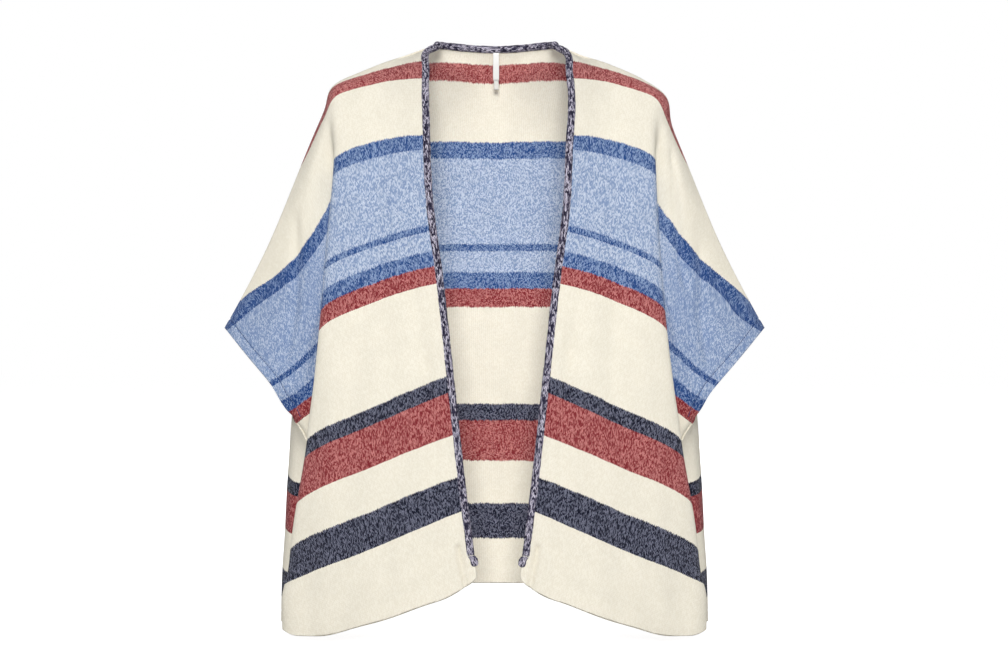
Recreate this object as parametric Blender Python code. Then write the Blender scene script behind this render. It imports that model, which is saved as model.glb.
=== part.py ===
"""Open-front knitted poncho sweater, worn by nobody and holding its hollow form.

Frame: +X to the viewer's right, -Y to the front, +Z up, metres. The origin is midway between the two neck
points, where the wearer's neck and shoulders hold the garment up.

The cut is two fronts and one back, each with its half sleeves in one with it. A front and the back meet along
the shoulder seam, which runs from the neck point down the upper arm to the cuff, and along the side seam, from
the underarm to the hem. Each panel is a wall that lies on its course lines: a row of knitting, followed from the
front edge (or the centre back) over the front of the body, round the drape fold that hangs in front of the arm,
and out along the sleeve or back to the side seam.
"""

from collections import namedtuple

import bpy
import numpy as np

MM = 0.001

# ---- driving sizes, in metres -------------------------------------------------------------------------------
WALL = 0.0025                # the knitted cloth
CUFF_TURN_EXTRA = 0.0015     # the cuff is turned in and stitched, so its edge is thicker
SEAM_GAP = 0.0006            # between two panels at a seam
BINDING_GAP = 0.0014         # between a panel's edge and the binding
BINDING_WIDTH = 0.0125
BINDING_DEPTH = 0.0085
BINDING_SIDES = 8
BARE_EDGE_PROUD = 0.003      # below the binding's end the front edge is bare, and stands out this far past it
CORNER_LIFT = 0.005          # the hem corner under it is rounded
END_HALF = (0.0065, 0.0055, 0.0075)  # the binding's turned end: half its width, depth and height
END_INSET = 0.005            # it sits a little towards the opening
END_RINGS = 6
OPENING_SHIFT = 0.0055       # the two front edges hang a little to +X of the neck
OPENING_FORWARD = 0.13       # full where the edge stands this far forward of the neck points
LABEL_WIDTH = 0.009
LABEL_LENGTH = 0.031
LABEL_THICK = 0.0008
TAB_WIDTH = 0.008
TAB_LENGTH = 0.050
TAB_THICK = 0.0006
LABEL_TOP = -0.0055          # just under the binding, inside the centre back
LABEL_LEAN = 0.245           # its turn about X, in radians: it leans back as it hangs
SHARP_ANGLE = 0.8            # radians: faces that meet at more than this are shaded with a sharp edge

# Drop of the cloth along a wale, from the neck point: the underarm course and two courses further down.
UNDERARM_DROP = 0.344
WAIST_DROP = 0.478
HIP_DROP = 0.607

# The courses that the panels are drawn through, from the shoulder seam to the hem. Above the underarm a course
# is a share of the way from the seam to the underarm course.
SHARES_TO_UNDERARM = (0.0, 0.12, 1 / 3, 2 / 3, 1.0)
UNDERARM_COURSE = 4
ROWS_BETWEEN_COURSES = (2, 3, 3, 3, 3, 3, 4)

# Lines that run down a front panel, and the columns of cloth between one and the next.
FRONT_LINES = "edge breast lip fold sleeve outer"
COLUMNS_BETWEEN_LINES = (4, 4, 4, 4, 4)
Course = namedtuple("Course", FRONT_LINES)

# Where each line crosses each course, in mm: (out from the middle, back, up).
FRONT = (
    Course((83, 10, 0), (153, 5, -26), (203, 2, -52), (226, 3, -89), (303, 8, -270), (361, 18, -378)),
    Course((93, -62, -44), (151, -28, -55), (212, -25, -76), (224, -26, -112), (285, -12, -291), (350, -2, -389)),
    Course((93, -100, -117), (148, -74, -128), (218, -62, -152), (206, -28, -188), (257, -38, -327), (325, -30, -416)),
    Course((89, -126, -217), (147, -108, -235), (219, -86, -266), (192, -40, -308), (257, -58, -418), (287, -50, -457)),
    Course((76, -133, -318), (146, -120, -338), (225, -92, -379), (190, -40, -432), (244, -56, -492), (251, -46, -498)),
    Course((63, -136, -438), (146, -124, -474), (241, -84, -523), (226, -46, -556), (234, -32, -574), (241, -20, -586)),
    Course((49, -138, -567), (146, -126, -605), (264, -66, -663), (256, -38, -686), (259, -27, -697), (262, -15, -705)),
    Course((32, -140, -701), (146, -128, -752), (267, -52, -778), (271, -34, -780), (274, -23, -781), (276, -12, -782)),
)
# Drop at the shoulder seam and at the hem, in mm: the seam slopes away from the courses towards the cuff.
FRONT_SEAM_DROP = Course(0, 11, 17, 27, 88, 142)
FRONT_HEM_DROP = Course(757, 750, 725, 717, 708, 702)

# The drape fold on the +X side starts a little nearer the middle, in mm out at each course.
RIGHT_LIP_SHIFT = (0, -6, -10, -6, -3, 0, 0, 0)

# The back has one more line, at its centre. Its neck line starts at the neck point.
BACK_LINES = "centre neck blade lip fold sleeve outer"
NECK_COLUMNS = 4
BackCourse = namedtuple("BackCourse", BACK_LINES)
BACK = (
    BackCourse((0, 76, 2), (83, 10, 0), (153, 5, -26), (203, 2, -52), (226, 3, -89), (303, 8, -270), (361, 18, -378)),
    BackCourse((0, 99, -37), (88, 46, -33), (152, 34, -52), (206, 28, -73), (228, 24, -110), (290, 27, -285),
               (350, 38, -383)),
    BackCourse((0, 118, -110), (90, 96, -106), (152, 76, -120), (213, 60, -146), (224, 40, -184), (268, 44, -318),
               (322, 50, -402)),
    BackCourse((0, 128, -228), (92, 118, -227), (154, 102, -238), (223, 84, -262), (228, 56, -306), (264, 56, -398),
               (285, 22, -452)),
    BackCourse((0, 126, -345), (94, 119, -347), (156, 107, -358), (232, 90, -380), (262, 62, -424), (268, 14, -476),
               (251, -46, -498)),
    BackCourse((0, 124, -482), (96, 118, -485), (160, 108, -500), (246, 88, -528), (277, 52, -561), (274, 10, -578),
               (241, -20, -586)),
    BackCourse((0, 128, -618), (98, 122, -621), (165, 112, -638), (252, 88, -664), (281, 50, -684), (282, 14, -698),
               (262, -15, -705)),
    BackCourse((0, 134, -732), (100, 128, -735), (168, 118, -748), (254, 88, -768), (281, 46, -777), (285, 12, -781),
               (276, -12, -782)),
)
BACK_SEAM_DROP = BackCourse(6, 0, 11, 17, 27, 88, 142)
BACK_HEM_DROP = BackCourse(717, 717, 714, 710, 706, 704, 702)

# The back neck, in mm, from the centre back to the neck point: one place for each of the neck's columns.
NECK_CURVE = ((0, 76, 2), (33, 71, 3), (61, 57, 4), (79, 36, 3), (83, 10, 0))

# Colour and roughness.
CREAM_KNIT = ((0.86, 0.82, 0.72), 0.95)
NAVY_MARL = ((0.16, 0.17, 0.27), 0.9)
WHITE_TAPE = ((0.90, 0.90, 0.88), 0.7)


# ---- curves and surfaces ------------------------------------------------------------------------------------
def smooth_path(points, counts):
    """A smooth path through points, as rows of numbers whose first three are a place, with counts[i] steps in
    span i."""
    points = np.asarray(points, float)
    chords = np.linalg.norm(np.diff(points[:, :3], axis=0), axis=1)
    knots = np.concatenate([[0.0], np.cumsum(np.sqrt(np.maximum(chords, 1e-6)))])
    steps = np.diff(knots)
    slopes = np.diff(points, axis=0) / steps[:, None]
    tangents = np.empty_like(points)
    before, after = steps[:-1, None], steps[1:, None]
    tangents[1:-1] = (slopes[:-1] * after + slopes[1:] * before) / (before + after)
    tangents[0] = 1.5 * slopes[0] - 0.5 * tangents[1]
    tangents[-1] = 1.5 * slopes[-1] - 0.5 * tangents[-2]
    path = [points[:1]]
    for i, count in enumerate(counts):
        s = np.linspace(0, 1, count + 1)[1:, None]
        path.append(
            points[i] * (2 * s**3 - 3 * s**2 + 1)
            + tangents[i] * steps[i] * (s**3 - 2 * s**2 + s)
            + points[i + 1] * (3 * s**2 - 2 * s**3)
            + tangents[i + 1] * steps[i] * (s**3 - s**2)
        )
    return np.concatenate(path)


def drops(seam_drop, hem_drop):
    """The drop at each course of a line that starts at seam_drop and ends at hem_drop."""
    above = [seam_drop + share * (UNDERARM_DROP - seam_drop) for share in SHARES_TO_UNDERARM]
    return above + [WAIST_DROP, HIP_DROP, hem_drop]


def drawn_line(places, seam_drop, hem_drop):
    """One line down the cloth, as rows of (x, y, z, drop) in metres."""
    table = np.column_stack([np.array(places) * MM, drops(seam_drop * MM, hem_drop * MM)])
    return smooth_path(table, ROWS_BETWEEN_COURSES)


def panel_grid(lines, columns):
    """The panel's rows of points, each (x, y, z, drop), through the lines that run down it."""
    return np.array([smooth_path(crossing, columns) for crossing in np.stack(lines, axis=1)])


def front_grid(side):
    """The front's points at +X, then turned to its own side (-1 or 1)."""
    lines = []
    for name in Course._fields:
        places = np.array([getattr(course, name) for course in FRONT], float)
        if name == "lip" and side > 0:
            places[:, 0] += RIGHT_LIP_SHIFT
        lines.append(drawn_line(places, getattr(FRONT_SEAM_DROP, name), getattr(FRONT_HEM_DROP, name)))
    grid = panel_grid(lines, COLUMNS_BETWEEN_LINES)
    grid[:, :, 0] *= side
    shift_opening(grid)
    return grid


def shift_opening(grid):
    """Hangs the front edge a little to +X, fading out towards the sleeve."""
    reach = sum(COLUMNS_BETWEEN_LINES[:2])
    fade = np.clip(1 - np.arange(grid.shape[1]) / reach, 0, 1)
    forward = np.clip(-grid[:, :1, 1] / OPENING_FORWARD, 0, 1)
    grid[:, :, 0] += OPENING_SHIFT * fade[None, :] * forward


def back_grid():
    """The whole back, from the -X cuff and side seam to the +X ones."""
    lines = {}
    for name in BackCourse._fields:
        places = [getattr(course, name) for course in BACK]
        lines[name] = drawn_line(places, getattr(BACK_SEAM_DROP, name), getattr(BACK_HEM_DROP, name))
    half = [lines[name] for name in BackCourse._fields[1:]]
    turned = [line * (-1, 1, 1, 1) for line in half]
    columns = (NECK_COLUMNS,) + COLUMNS_BETWEEN_LINES
    grid = panel_grid(turned[::-1] + [lines["centre"]] + half, columns[::-1] + columns)
    middle = sum(columns)
    for column, place in enumerate(NECK_CURVE):
        for side in (-1, 1):
            grid[0, middle + side * column, :3] = np.array(place) * MM * (side, 1, 1)
    return grid


def normals_of(grid, flip):
    """The sum of the face normals round each point, outwards when flip is set rightly."""
    places = grid[:, :, :3]
    down = places[1:, :-1] - places[:-1, :-1] + places[1:, 1:] - places[:-1, 1:]
    across = places[:-1, 1:] - places[:-1, :-1] + places[1:, 1:] - places[1:, :-1]
    faces = np.cross(across, down)
    faces /= np.linalg.norm(faces, axis=2, keepdims=True)
    total = np.zeros_like(places)
    for rows in (slice(None, -1), slice(1, None)):
        for columns in (slice(None, -1), slice(1, None)):
            total[rows, columns] += faces
    return -total if flip else total


def unit(vectors):
    return vectors / np.linalg.norm(vectors, axis=-1, keepdims=True)


class Garment:
    """The three panels as grids of points, with the normals that they share at their seams."""

    def __init__(self):
        self.side_row = sum(ROWS_BETWEEN_COURSES[:UNDERARM_COURSE])
        self.reach = sum(COLUMNS_BETWEEN_LINES)
        self.fronts = {side: front_grid(side) for side in (-1, 1)}
        self.back = back_grid()
        # The back takes the fronts' points at the seams, so that both lie on one line.
        for side in (-1, 1):
            self.back[0, self.shoulder(side)] = self.fronts[side][0]
            self.back[self.side_row :, self.cuff_column(side)] = self.fronts[side][self.side_row :, -1]
        self.set_normals()

    def shoulder(self, side):
        """The back's columns along a shoulder seam, from the neck point out to the cuff."""
        last = self.back.shape[1] - 1
        return slice(self.reach, None, -1) if side < 0 else slice(last - self.reach, None)

    def cuff_column(self, side):
        return 0 if side < 0 else -1

    def set_normals(self):
        front_sums = {side: normals_of(self.fronts[side], flip=side > 0) for side in (-1, 1)}
        back_sum = normals_of(self.back, flip=False)
        for side in (-1, 1):
            shoulder, cuff, row = self.shoulder(side), self.cuff_column(side), self.side_row
            front_sums[side][0] += back_sum[0, shoulder]
            back_sum[0, shoulder] = front_sums[side][0]
            front_sums[side][row:, -1] += back_sum[row:, cuff]
            back_sum[row:, cuff] = front_sums[side][row:, -1]
        self.front_normals = {side: unit(front_sums[side]) for side in (-1, 1)}
        self.back_normals = unit(back_sum)

    def binding_frames(self):
        """The binding's middle line, from the -X front's foot round the neck to the +X front's, with the way
        from it into the cloth and the way out of the cloth."""
        neck = slice(self.reach, self.back.shape[1] - self.reach)
        stretches = [
            (self.fronts[-1][-2::-1, 0], self.fronts[-1][-2::-1, 1], self.front_normals[-1][-2::-1, 0]),
            (self.back[0, neck][1:-1], self.back[1, neck][1:-1], self.back_normals[0, neck][1:-1]),
            (self.fronts[1][:-1, 0], self.fronts[1][:-1, 1], self.front_normals[1][:-1, 0]),
        ]
        middle, inside, out = (np.concatenate([stretch[i] for stretch in stretches]) for i in range(3))
        middle, inside = middle[:, :3], inside[:, :3]
        along = unit(np.gradient(middle, axis=0))
        into = inside - middle
        into = unit(into - (into * along).sum(axis=1, keepdims=True) * along)
        normal = unit(np.cross(along, into))
        return middle, into, normal * np.sign((normal * out).sum(axis=1, keepdims=True))


# ---- making objects -----------------------------------------------------------------------------------------
def material(name, colour, roughness):
    """A cloth's material, named after its piece."""
    made = bpy.data.materials.new(name + "_cloth")
    made.use_nodes = True
    shader = made.node_tree.nodes["Principled BSDF"]
    shader.inputs["Base Color"].default_value = (*colour, 1)
    shader.inputs["Roughness"].default_value = roughness
    shader.inputs["Metallic"].default_value = 0
    made.diffuse_color = (*colour, 1)
    return made


def add_object(held_by, name, points, faces, finish, location=(0, 0, 0), rotation=(0, 0, 0)):
    mesh = bpy.data.meshes.new(name)
    mesh.from_pydata([tuple(point) for point in points], [], faces)
    mesh.materials.append(material(name, *finish))
    mesh.shade_smooth()
    mesh.set_sharp_from_angle(angle=SHARP_ANGLE)
    made = bpy.data.objects.new(name, mesh)
    made.parent = held_by
    made.location = location
    made.rotation_euler = rotation
    bpy.context.scene.collection.objects.link(made)


def wall_mesh(places, normals, inner, flip):
    """Points and faces of a closed wall on a grid of places. inner is its thickness below each place's half."""
    rows, columns = places.shape[:2]
    outside = places + normals * (WALL / 2)
    inside = places - normals * (WALL / 2 + inner[..., None])
    points = np.concatenate([outside.reshape(-1, 3), inside.reshape(-1, 3)])
    half = rows * columns

    def corner(row, column, layer=0):
        return layer * half + row * columns + column

    faces = []
    for row in range(rows - 1):
        for column in range(columns - 1):
            a, b = corner(row, column), corner(row, column + 1)
            c, d = corner(row + 1, column + 1), corner(row + 1, column)
            faces.append((a, b, c, d))
            faces.append((a + half, d + half, c + half, b + half))
    rim = [(0, column) for column in range(columns - 1)]
    rim += [(row, columns - 1) for row in range(rows - 1)]
    rim += [(rows - 1, column) for column in range(columns - 1, 0, -1)]
    rim += [(row, 0) for row in range(rows - 1, 0, -1)]
    for (row_a, column_a), (row_b, column_b) in zip(rim, rim[1:] + rim[:1]):
        a, b = corner(row_a, column_a), corner(row_b, column_b)
        faces.append((b, a, a + half, b + half))
    if flip:
        faces = [face[::-1] for face in faces]
    return points, faces


def build_front(held_by, garment, side, into, out):
    """A front. into is the way from the binding's middle into the cloth, and out the way out of the cloth
    there, for each row the binding covers."""
    places = garment.fronts[side][:, :, :3].copy()
    normals = garment.front_normals[side].copy()
    normals[:-1, 0] = out
    row = garment.side_row
    places[:-1, 0] += into * (BINDING_WIDTH / 2 + BINDING_GAP)
    places[-1, 0] += unit(places[-1, 0] - places[-1, 1]) * BARE_EDGE_PROUD + (0, 0, CORNER_LIFT)
    places[0] += unit(places[1] - places[0]) * SEAM_GAP / 2
    places[row:, -1] += unit(places[row:, -2] - places[row:, -1]) * SEAM_GAP / 2
    turned = np.zeros(places.shape[:2])
    turned[: row + 1, -1] = CUFF_TURN_EXTRA
    points, faces = wall_mesh(places, normals, turned, flip=side > 0)
    add_object(held_by, "front_left" if side < 0 else "front_right", points, faces, CREAM_KNIT)


def build_back(held_by, garment, into, out):
    """The back. into and out are as for a front, from neck point to neck point."""
    places = garment.back[:, :, :3].copy()
    normals = garment.back_normals.copy()
    row, reach = garment.side_row, garment.reach
    turned = np.zeros(places.shape[:2])
    for side in (-1, 1):
        seam = garment.shoulder(side)
        edge, beside = garment.cuff_column(side), garment.cuff_column(side) - side
        places[0, seam] += unit(places[1, seam] - places[0, seam]) * SEAM_GAP / 2
        places[row:, edge] += unit(places[row:, beside] - places[row:, edge]) * SEAM_GAP / 2
        turned[: row + 1, edge] = CUFF_TURN_EXTRA
    places[0, reach : places.shape[1] - reach] += into * (BINDING_WIDTH / 2 + BINDING_GAP)
    normals[0, reach : places.shape[1] - reach] = out
    points, faces = wall_mesh(places, normals, turned, flip=False)
    add_object(held_by, "back", points, faces, CREAM_KNIT)


def build_binding(held_by, frames):
    """An oval roll along the front edges and round the back neck."""
    middle, into, normal = frames
    angles = np.arange(BINDING_SIDES) * 2 * np.pi / BINDING_SIDES
    rings = [
        middle + into * np.cos(angle) * BINDING_WIDTH / 2 + normal * np.sin(angle) * BINDING_DEPTH / 2
        for angle in angles
    ]
    points = np.stack(rings, axis=1).reshape(-1, 3)
    sides = BINDING_SIDES
    faces = []
    for ring in range(len(middle) - 1):
        for i in range(sides):
            j = (i + 1) % sides
            faces.append((ring * sides + i, ring * sides + j, (ring + 1) * sides + j, (ring + 1) * sides + i))
    faces.append(tuple(range(sides - 1, -1, -1)))
    faces.append(tuple(range(len(points) - sides, len(points))))
    add_object(held_by, "binding", points, facing_out(points, faces), NAVY_MARL)


def facing_out(points, faces):
    """The faces, turned round if the solid that they close is inside out."""
    volume = 0.0
    for face in faces:
        for second, third in zip(face[1:], face[2:]):
            volume += np.dot(points[face[0]], np.cross(points[second], points[third]))
    return faces if volume > 0 else [face[::-1] for face in faces]


def build_binding_end(held_by, name, foot, into):
    """The binding's turned end: a small rounded knot under its foot, towards the opening."""
    half = np.array(END_HALF)
    points = [half * (0, 0, 1)]
    for ring in range(1, END_RINGS):
        fall = np.pi * ring / END_RINGS
        for angle in np.arange(BINDING_SIDES) * 2 * np.pi / BINDING_SIDES:
            points.append(half * (np.sin(fall) * np.cos(angle), np.sin(fall) * np.sin(angle), np.cos(fall)))
    points.append(half * (0, 0, -1))
    sides, last, faces = BINDING_SIDES, len(points) - 1, []
    for i in range(sides):
        j = (i + 1) % sides
        faces.append((0, 1 + i, 1 + j))
        for ring in range(END_RINGS - 2):
            a, b = 1 + ring * sides, 1 + (ring + 1) * sides
            faces.append((a + i, b + i, b + j, a + j))
        faces.append((last, last - sides + j, last - sides + i))
    centre = foot - into * END_INSET - half * (0, 0, 1) - np.array((0, 0, BINDING_GAP))
    add_object(held_by, name, points, facing_out(points, faces), NAVY_MARL, location=centre)


def build_tag(held_by, name, top, width, length, thick):
    """A flat tag that hangs from the middle of its top edge, leaning back a little."""
    corners = [
        np.array((across, back, up))
        for up in (0, -length)
        for across in (-width / 2, width / 2)
        for back in (0, thick)
    ]
    faces = [(0, 1, 3, 2), (4, 6, 7, 5), (0, 2, 6, 4), (1, 5, 7, 3), (0, 4, 5, 1), (2, 3, 7, 6)]
    lean = (LABEL_LEAN, 0, 0)
    add_object(held_by, name, corners, facing_out(corners, faces), WHITE_TAPE, location=top, rotation=lean)


def clear_scene():
    for old in list(bpy.data.objects):
        bpy.data.objects.remove(old, do_unlink=True)


def main():
    clear_scene()
    sweater = bpy.data.objects.new("poncho_sweater", None)
    bpy.context.scene.collection.objects.link(sweater)

    garment = Garment()
    frames = garment.binding_frames()
    middle, into, out = frames
    front_rows = garment.fronts[1].shape[0] - 1
    left, right = slice(front_rows - 1, None, -1), slice(-front_rows, None)
    neck = slice(front_rows - 1, len(middle) - front_rows + 1)
    build_front(sweater, garment, -1, into[left], out[left])
    build_front(sweater, garment, 1, into[right], out[right])
    build_back(sweater, garment, into[neck], out[neck])
    build_binding(sweater, frames)
    build_binding_end(sweater, "binding_end_left", middle[0], into[0])
    build_binding_end(sweater, "binding_end_right", middle[-1], into[-1])

    label_back = NECK_CURVE[0][1] * MM - BINDING_DEPTH / 2
    label_top = (0, label_back - LABEL_THICK, LABEL_TOP)
    build_tag(sweater, "neck_label", label_top, LABEL_WIDTH, LABEL_LENGTH, LABEL_THICK)
    tab_top = (0, label_back + BINDING_GAP, LABEL_TOP)
    build_tag(sweater, "size_tab", tab_top, TAB_WIDTH, TAB_LENGTH, TAB_THICK)


main()
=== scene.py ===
"""The looks of an open-front knitted poncho sweater, held in its worn form with nobody in it.

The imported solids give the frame. Each cloth solid is replaced here by a thin knitted shell on the same form,
with its drape folds, turned cuffs and hems. The frame is +X to the viewer's right, -Y to the front and +Z up,
in metres, and its origin is midway between the two neck points.
"""

import logging
import math
from collections.abc import Sequence
from dataclasses import dataclass, field
from enum import Enum
from typing import Union

import bpy
import numpy as np
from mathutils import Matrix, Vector


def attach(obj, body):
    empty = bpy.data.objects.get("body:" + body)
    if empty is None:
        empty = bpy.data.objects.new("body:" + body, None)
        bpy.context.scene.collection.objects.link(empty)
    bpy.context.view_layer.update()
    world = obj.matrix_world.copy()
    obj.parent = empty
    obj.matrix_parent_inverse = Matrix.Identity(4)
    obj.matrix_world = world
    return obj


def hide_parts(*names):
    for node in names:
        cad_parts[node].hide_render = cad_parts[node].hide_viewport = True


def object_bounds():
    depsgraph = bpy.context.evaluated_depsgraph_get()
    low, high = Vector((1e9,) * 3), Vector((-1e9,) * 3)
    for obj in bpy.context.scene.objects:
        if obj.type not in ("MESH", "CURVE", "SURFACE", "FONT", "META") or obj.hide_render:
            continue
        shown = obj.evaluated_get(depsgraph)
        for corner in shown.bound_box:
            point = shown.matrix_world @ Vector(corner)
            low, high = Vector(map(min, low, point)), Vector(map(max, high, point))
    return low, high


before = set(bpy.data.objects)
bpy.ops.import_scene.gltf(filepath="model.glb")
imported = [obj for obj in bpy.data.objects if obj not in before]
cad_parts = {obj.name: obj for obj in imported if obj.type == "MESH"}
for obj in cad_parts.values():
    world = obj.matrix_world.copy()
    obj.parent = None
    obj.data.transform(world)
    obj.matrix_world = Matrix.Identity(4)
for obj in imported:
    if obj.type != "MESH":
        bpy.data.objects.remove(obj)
CAD_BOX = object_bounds()

LOG = logging.getLogger("poncho_sweater")
MM = 0.001

Colour = tuple[float, float, float]
Place = tuple[float, float, float]
Value = Union[float, bpy.types.NodeSocket]


# ---- the form of the cloth, as the solids have it --------------------------------------------------------
class Side(Enum):
    """The two sides of the sweater, as signs of X."""

    LEFT = -1
    RIGHT = 1


class Slot(Enum):
    """The record's material slots."""

    KNIT = "striped_knit"
    ROLL = "marl_binding"
    TAPE = "label_tape"


UNDERARM_DROP = 0.344
WAIST_DROP = 0.478
HIP_DROP = 0.607
SHARES_TO_UNDERARM = (0.0, 0.12, 1 / 3, 2 / 3, 1.0)
UNDERARM_COURSE = 4

# Where each line down a panel crosses each course, from the shoulder seam to the hem, in mm: (out, back, up).
FRONT_LINES = ("edge", "breast", "lip", "fold", "sleeve", "outer")
FRONT = (
    ((83, 10, 0), (153, 5, -26), (203, 2, -52),
     (226, 3, -89), (303, 8, -270), (361, 18, -378)),
    ((93, -62, -44), (151, -28, -55), (212, -25, -76),
     (224, -26, -112), (285, -12, -291), (350, -2, -389)),
    ((93, -100, -117), (148, -74, -128), (218, -62, -152),
     (206, -28, -188), (257, -38, -327), (325, -30, -416)),
    ((89, -126, -217), (147, -108, -235), (219, -86, -266),
     (192, -40, -308), (257, -58, -418), (287, -50, -457)),
    ((76, -133, -318), (146, -120, -338), (225, -92, -379),
     (190, -40, -432), (244, -56, -492), (251, -46, -498)),
    ((63, -136, -438), (146, -124, -474), (241, -84, -523),
     (226, -46, -556), (234, -32, -574), (241, -20, -586)),
    ((49, -138, -567), (146, -126, -605), (264, -66, -663),
     (256, -38, -686), (259, -27, -697), (262, -15, -705)),
    ((32, -140, -701), (146, -128, -752), (267, -52, -778),
     (271, -34, -780), (274, -23, -781), (276, -12, -782)),
)
FRONT_SEAM_DROP = (0, 11, 17, 27, 88, 142)
FRONT_HEM_DROP = (757, 750, 725, 717, 708, 702)
LEFT_LIP_SHIFT = (0, -4, -11, -3, 0, 0, 0, 0)
RIGHT_LIP_SHIFT = (0, -6, -10, -6, -3, 0, 0, 0)

# The same for the back's lines: its centre, neck point, shoulder blade, lip, fold, sleeve and outer edge.
BACK = (
    ((0, 76, 2), (83, 10, 0), (153, 5, -26), (203, 2, -52),
     (226, 3, -89), (303, 8, -270), (361, 18, -378)),
    ((0, 99, -37), (88, 46, -33), (152, 34, -52), (206, 28, -73),
     (228, 24, -110), (290, 27, -285), (350, 38, -383)),
    ((0, 118, -110), (90, 96, -106), (152, 76, -120), (213, 60, -146),
     (224, 40, -184), (268, 44, -318), (322, 50, -402)),
    ((0, 128, -228), (92, 118, -227), (154, 102, -238), (223, 84, -262),
     (228, 56, -306), (264, 56, -398), (285, 22, -452)),
    ((0, 126, -345), (94, 119, -347), (156, 107, -358), (232, 90, -380),
     (262, 62, -424), (268, 14, -476), (251, -46, -498)),
    ((0, 124, -482), (96, 118, -485), (160, 108, -500), (246, 88, -528),
     (277, 52, -561), (274, 10, -578), (241, -20, -586)),
    ((0, 128, -618), (98, 122, -621), (165, 112, -638), (252, 88, -664),
     (281, 50, -684), (282, 14, -698), (262, -15, -705)),
    ((0, 134, -732), (100, 128, -735), (168, 118, -748), (254, 88, -768),
     (281, 46, -777), (285, 12, -781), (276, -12, -782)),
)
BACK_SEAM_DROP = (6, 0, 11, 17, 27, 88, 142)
BACK_HEM_DROP = (717, 717, 714, 710, 706, 704, 702)
NECK_CURVE = ((0, 76, 2), (33, 71, 3), (61, 57, 4), (79, 36, 3), (83, 10, 0))

# The opening sits a little towards +X where the fronts reach forward.
OPENING_SHIFT = 0.0055
OPENING_FORWARD = 0.13

# The hem's own shape: it dips in front, beside the side seams, and rises in round corners at the sides.
HEM_START = -0.66
HEM_RISE = 0.12
HEM_DIP = 0.0080
HEM_DIP_OUT = 0.218
HEM_DIP_REACH = 0.036
HEM_DIP_FORWARD = (0.030, 0.055)
HEM_CORNER = 0.0095
HEM_CORNER_OUT = (0.252, 0.278)


def unit(vectors: np.ndarray) -> np.ndarray:
    """The vectors, each brought to a length of 1."""
    return vectors / np.maximum(np.linalg.norm(vectors, axis=-1, keepdims=True), 1e-12)


def fade(value: np.ndarray, low: float, high: float) -> np.ndarray:
    """A smooth step from 0 at low to 1 at high."""
    share = np.clip((value - low) / (high - low), 0, 1)
    return share * share * (3 - 2 * share)


def lengths_along(points: np.ndarray) -> np.ndarray:
    """How far each point of a line is from its first."""
    return np.concatenate([[0.0], np.cumsum(np.linalg.norm(np.diff(points, axis=0), axis=1))])


def places_at(stops: Union[float, np.ndarray], lengths: np.ndarray, points: np.ndarray) -> np.ndarray:
    """The places at the stops, on a line whose points are at the lengths."""
    return np.stack([np.interp(stops, lengths, points[:, axis]) for axis in range(3)], axis=-1)


def smooth_path(points: np.ndarray, stops: Sequence[np.ndarray]) -> np.ndarray:
    """A smooth path through points.

    Args:
        points: rows of numbers whose first three are a place.
        stops: for each span between two points, how far along it each step ends, from above 0 to 1.

    Returns:
        The path's rows, starting with the first point.
    """
    points = np.asarray(points, float)
    chords = np.linalg.norm(np.diff(points[:, :3], axis=0), axis=1)
    knots = np.concatenate([[0.0], np.cumsum(np.sqrt(np.maximum(chords, 1e-6)))])
    steps = np.diff(knots)
    slopes = np.diff(points, axis=0) / steps[:, None]
    tangents = np.empty_like(points)
    before, after = steps[:-1, None], steps[1:, None]
    tangents[1:-1] = (slopes[:-1] * after + slopes[1:] * before) / (before + after)
    tangents[0] = 1.5 * slopes[0] - 0.5 * tangents[1]
    tangents[-1] = 1.5 * slopes[-1] - 0.5 * tangents[-2]
    path = [points[:1]]
    for i, stop in enumerate(stops):
        s = np.asarray(stop)[:, None]
        path.append(
            points[i] * (2 * s**3 - 3 * s**2 + 1)
            + tangents[i] * steps[i] * (s**3 - 2 * s**2 + s)
            + points[i + 1] * (3 * s**2 - 2 * s**3)
            + tangents[i + 1] * steps[i] * (s**3 - s**2)
        )
    return np.concatenate(path)


def even(count: int) -> np.ndarray:
    """Stops of a span in count equal steps."""
    return np.linspace(0, 1, count + 1)[1:]


def opening(count: int, power: float = 1.35) -> np.ndarray:
    """Stops of a span that start close together."""
    return even(count) ** power


def closing(count: int, power: float = 1.5) -> np.ndarray:
    """Stops of a span that come closer together towards its end."""
    return np.append(1 - opening(count, power)[-2::-1], 1.0)


@dataclass(frozen=True)
class Fineness:
    """How many steps the cloth has between its courses and between its lines."""

    rows: tuple[np.ndarray, ...] = (
        even(12), even(24), even(34), even(34), even(42), even(40), closing(52, 1.25),
    )
    columns: tuple[np.ndarray, ...] = (opening(30), even(30), even(30), even(30), closing(44))
    neck_columns: int = 26


FINE = Fineness()
SIDE_ROW = sum(len(stops) for stops in FINE.rows[:UNDERARM_COURSE])
FRONT_STEPS = sum(len(stops) for stops in FINE.columns)
HALF_BACK = (even(FINE.neck_columns),) + FINE.columns
# How far above the hem the binding ends.
FOOT = 0.0365


def drops(seam_drop: float, hem_drop: float) -> list[float]:
    """The drop at each course of a line that starts at seam_drop and ends at hem_drop."""
    above = [seam_drop + share * (UNDERARM_DROP - seam_drop) for share in SHARES_TO_UNDERARM]
    return above + [WAIST_DROP, HIP_DROP, hem_drop]


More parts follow.
